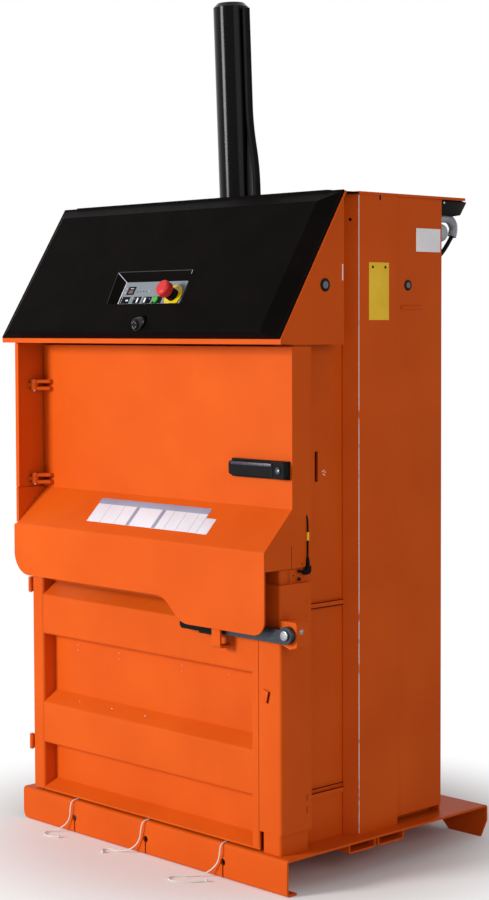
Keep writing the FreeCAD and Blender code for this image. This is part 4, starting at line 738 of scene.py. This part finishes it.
conduit_radius, conduit_ripple = 8.4, 2.8
conduit_points = [(wiring_x, y, z) for y, z in
                  ((549, 1472), (575, 1476), (602, 1475), (617, 1461), (619, 1447), (613, 1434))]
hose("conduit", conduit_points, conduit_radius, conduit_grey, ripple=conduit_ripple)
cable_points = [(405, 615, 1437), (405, 603, 1421), (405, 583, 1399), (405, 566, 1385), (404, 549, 1376)]
hose("housing_cable", cable_points, 5, rubber)
print("conduit is", 2 * (conduit_radius + conduit_ripple), "mm across its ribs")

# %% [markdown]
# ## The door switch and the seams beside it
#
# A cable comes down the right flange of the upper door and ends in an elbow
# with a short connector and two black screws. Thin strips of painted shade
# mark the gaps where the sheets meet.

# %% Door switch
cable_x = 438.4
switch_points = [(434, 90.6, 818), (437.2, 90.8, 810), (cable_x, 91.2, 796), (cable_x, 91.3, 760),
                 (cable_x, 90.6, 722)]
hose("switch_cable", switch_points, 1.9, rubber, "upper_door")
band = stud((cable_x, 91.3, 761), upwards, 3, 18, 0.5)
add("switch_cable_band", band, on_machine, plate_yellow, "upper_door")
neck = stud((439, 90.6, 700), upwards, 5, 24, 1, tip=3)
add("switch_neck", neck, on_machine, rubber, "upper_door")
elbow_view = ((97, 706), (97, 694), (92, 688), (80, 687), (72, 691), (72, 697), (82, 699), (86, 706))
elbow = prism([(flange_face, y, z) for y, z in elbow_view], (8, 0, 0))
round_edges(elbow, elbow.edges[:], 1.2)
add("switch_elbow", elbow, on_machine, rubber, "upper_door")
switch_heads = {
    "switch_screw_upper": (65.5, 696.3, 4), "switch_screw_lower": (65.5, 679, 4),
    "switch_dot_upper": (74.8, 711.1, 1.3), "switch_dot_lower": (48.6, 688, 1.3),
}
for name, (y, z, radius) in switch_heads.items():
    head = stud((flange_face, y, z), to_right, radius, 1 + radius / 2, 0.3)
    add(name, head, on_machine, knob_black, "upper_door")
print("screw heads beside the switch:", len(switch_heads))

# %% Painted seam shade, square rivets and laps
# Strips of painted shade in the flange's seams.
flange_seam_shades = {
    "flange_seam_upper": ((43, 703), (44.2, 752)),
    "flange_seam_lower": ((35.2, 674), (36.4, 700)),
}
for name, (low, high) in flange_seam_shades.items():
    seam = block((flange_face - 0.1, *low), (flange_face + 0.2, *high), 0.1)
    add(name, seam, on_machine, gap_shadow, "upper_door")
square_rivets = ((629, post_cover_face, "frame"), (598, post_cover_face, "frame"),
                 (199, door_cover_face, "bale_door"), (172, door_cover_face, "bale_door"))
for number, (z, face, body) in enumerate(square_rivets):
    head = block((face, 86, z - 6), (face + 0.9, 96, z + 6), 0.4)
    add(f"square_rivet_{number}", head, on_machine, orange, body)
    # A strip of painted shade along the rivet's edge.
    line = block((face, 84.6, z - 7), (face + 0.3, 86, z + 7), 0.1)
    add(f"square_rivet_shade_line_{number}", line, on_machine, gap_shadow, body)
# Strips of painted shade along the straps' edges.
for number, z in enumerate((613.2, 602, 199.6, 189)):
    line = block((strap_face, 104, z - 1.2), (strap_face + 0.3, 243, z + 1.2), 0.1)
    add(f"strap_shade_line_{number}", line, on_machine, gap_shadow)
wing_lap = block((-434.6, -34.4, 830.8), (-430.4, 49.4, 832.7), 0.2)
add("wing_lap", wing_lap, on_machine, orange, "upper_door")
add("guard_top_lap", block((-434.6, -34.4, 1183.8), (-430.4, 99, 1186.2), 0.2), on_machine, orange)
print("square rivets:", len(square_rivets))

# %% [markdown]
# ## The latch's bare metal and the weld marks
#
# The pivot bolt of the lever is bare steel, scratched by the spanner, and a
# smaller bolt sits on the side of the latch housing. Spatter from welding
# leaves small bright beads beside the beams.

# %% Bolts and lug
scratched_steel = brushed_metal("scratched_steel", shade(206, 210, 216), shade(96, 100, 108), (6, 6, 6), 0.15,
                                0.4)
pivot_cap = stud((473, -14.1, 569), to_front, 11, 5.2, 1.4)
add("pivot_bolt_cap", pivot_cap, on_machine, scratched_steel, "bale_door")
side_bolt = stud((492, 13.7, 576), to_right, 5.6, 3.4, 0.6)
add("latch_side_bolt", side_bolt, on_machine, scratched_steel, "bale_door")
on_lug = on_machine @ Matrix.Translation((394, 6, 427)) @ Matrix.Rotation(math.radians(14), 4, "Y")
add("cover_lug", block((-9, -5, -13), (9, 0.5, 13), 1), on_lug, orange, "bale_door")
# The lug's right side is a plate of painted shade.
add("cover_lug_side_shade", block((9, -4, -13), (10.2, 0, 13), 0.3), on_lug, gap_shadow, "bale_door")
# A strip of painted shade in the cover's seam.
add("cover_seam_shade", block((371, 5.8, 90), (372.2, 6.1, 558), 0.1), on_machine, gap_shadow, "bale_door")
lock_face = stud((415, 24.4, 914), to_front, 2.8, 1.2, 0.5)
add("handle_lock_face", lock_face, on_machine, scratched_steel, "upper_door")
print("bare metal:", scratched_steel.name)

# %% Scuffs, chips, weld beads and a painted glint
scuffed_black = brushed_metal("scuffed_black", shade(98, 94, 106), shade(24, 22, 26), (4, 4, 10), 0.4, 0.55)
scuff = block((264, 25.6, 921.5), (391, 26.3, 928), 0.3)
add("handle_scuff", scuff, on_machine, scuffed_black, "door_handle")
for number, (y, z) in enumerate(((183, 903), (187, 905), (191, 901), (185, 897), (189, 895))):
    chip = stud((wall_face, y, z), to_right, 1.5, 0.4, 0.1)
    add(f"wall_chip_{number}", chip, on_machine, plate_white)
grip_under = block((199, -12, 543.6), (264, -4, 549.4), 2)
add("grip_under", grip_under, on_machine, knob_black, "lock_lever")
skin_depth, beam_depth = 46.2, 10.2
weld_beads = [(79, 447), (79, 434.5), (236, 447), (-300, 448), (-300, 436), (-145, 448), (-145, 434)]
for number, (x, z) in enumerate(weld_beads):
    bead = stud((x, skin_depth, z), to_front, 1.5, 1, 0.5)
    add(f"weld_bead_{number}", bead, on_machine, zinc_plate, "bale_door")
beam_beads = (-250, -130, -10)
for number, x in enumerate(beam_beads):
    bead = stud((x, beam_depth, 322), to_front, 1.6, 1, 0.5)
    add(f"beam_bead_{number}", bead, on_machine, zinc_plate, "bale_door")
# A streak of painted highlight stands for a glint on the cheek's rear edge.
cheek_glint = block((cheek_face - 0.1, 203.6, 1324), (cheek_face + 0.4, 207.4, 1360), 0.2)
add("cheek_glint", cheek_glint, on_machine, painted_edge_highlight)
print("weld beads:", len(weld_beads) + len(beam_beads))

# %% [markdown]
# ## The studio
#
# A pale floor, a bright plain surround and one large soft lamp from the left
# of the front. The front faces get about twice the light of the side, as in
# the picture. Away from the machine the floor fades to plain white for the
# camera only, so no horizon shows, and its shadow stays.

# %% Floor
mesh = bmesh.new()
bmesh.ops.create_circle(mesh, cap_ends=True, radius=9, segments=64)
data = bpy.data.meshes.new("floor")
mesh.to_mesh(data)
mesh.free()
floor = bpy.data.objects.new("floor", data)
bpy.context.scene.collection.objects.link(floor)

floor_paint = bpy.data.materials.new("floor_paint")
floor_paint.use_nodes = True
nodes, links = floor_paint.node_tree.nodes, floor_paint.node_tree.links
nodes.clear()
place = nodes.new("ShaderNodeTexCoord")
reach = nodes.new("ShaderNodeVectorMath")
reach.operation = "LENGTH"
fade = nodes.new("ShaderNodeMapRange")
fade.interpolation_type = "SMOOTHSTEP"
fade.inputs["From Min"].default_value = 0.42
fade.inputs["From Max"].default_value = 1.0
seen = nodes.new("ShaderNodeLightPath")
both = nodes.new("ShaderNodeMath")
both.operation = "MULTIPLY"
matt = nodes.new("ShaderNodeBsdfDiffuse")
matt.inputs["Color"].default_value = (0.88, 0.88, 0.88, 1)
white = nodes.new("ShaderNodeEmission")
mix = nodes.new("ShaderNodeMixShader")
out = nodes.new("ShaderNodeOutputMaterial")
links.new(place.outputs["Object"], reach.inputs[0])
links.new(reach.outputs["Value"], fade.inputs["Value"])
links.new(fade.outputs["Result"], both.inputs[0])
links.new(seen.outputs["Is Camera Ray"], both.inputs[1])
links.new(both.outputs["Value"], mix.inputs["Fac"])
links.new(matt.outputs["BSDF"], mix.inputs[1])
links.new(white.outputs["Emission"], mix.inputs[2])
links.new(mix.outputs["Shader"], out.inputs["Surface"])
floor.data.materials.append(floor_paint)


# %% Lamps and surround
def soft_lamp(name, place, aim, width, power):
    light = bpy.data.lights.new(name, "AREA")
    light.shape = "DISK"
    light.size = width
    light.energy = power
    lamp = bpy.data.objects.new(name, light)
    lamp.location = place
    lamp.rotation_euler = (Vector(aim) - Vector(place)).to_track_quat("-Z", "Y").to_euler()
    bpy.context.scene.collection.objects.link(lamp)
    return lamp


soft_lamp("key", (-1.7, -5.6, 2.2), (0, 0, 0.9), 1.8, 325)
soft_lamp("fill", (5.2, -1.2, 2.4), (0, 0, 1.0), 3.0, 52)

world = bpy.data.worlds.new("surround")
world.use_nodes = True
bpy.context.scene.world = world
nodes, links = world.node_tree.nodes, world.node_tree.links
air = nodes["Background"]
air.inputs["Color"].default_value = (1, 1, 1, 1)
seen = nodes.new("ShaderNodeLightPath")
plain = nodes.new("ShaderNodeMath")
plain.operation = "MAXIMUM"
links.new(seen.outputs["Is Camera Ray"], plain.inputs[0])
links.new(seen.outputs["Is Transmission Ray"], plain.inputs[1])
mirrored = nodes.new("ShaderNodeMath")
mirrored.operation = "MAXIMUM"
links.new(plain.outputs["Value"], mirrored.inputs[0])
links.new(seen.outputs["Is Glossy Ray"], mirrored.inputs[1])
level_of_light = nodes.new("ShaderNodeMapRange")
level_of_light.inputs["To Min"].default_value = 0.3
level_of_light.inputs["To Max"].default_value = 1.0
links.new(mirrored.outputs["Value"], level_of_light.inputs["Value"])
links.new(level_of_light.outputs["Result"], air.inputs["Strength"])

# %% [markdown]
# ## Last update
#
# The last line brings the view layer up to date.

# %% Update
bpy.context.view_layer.update()
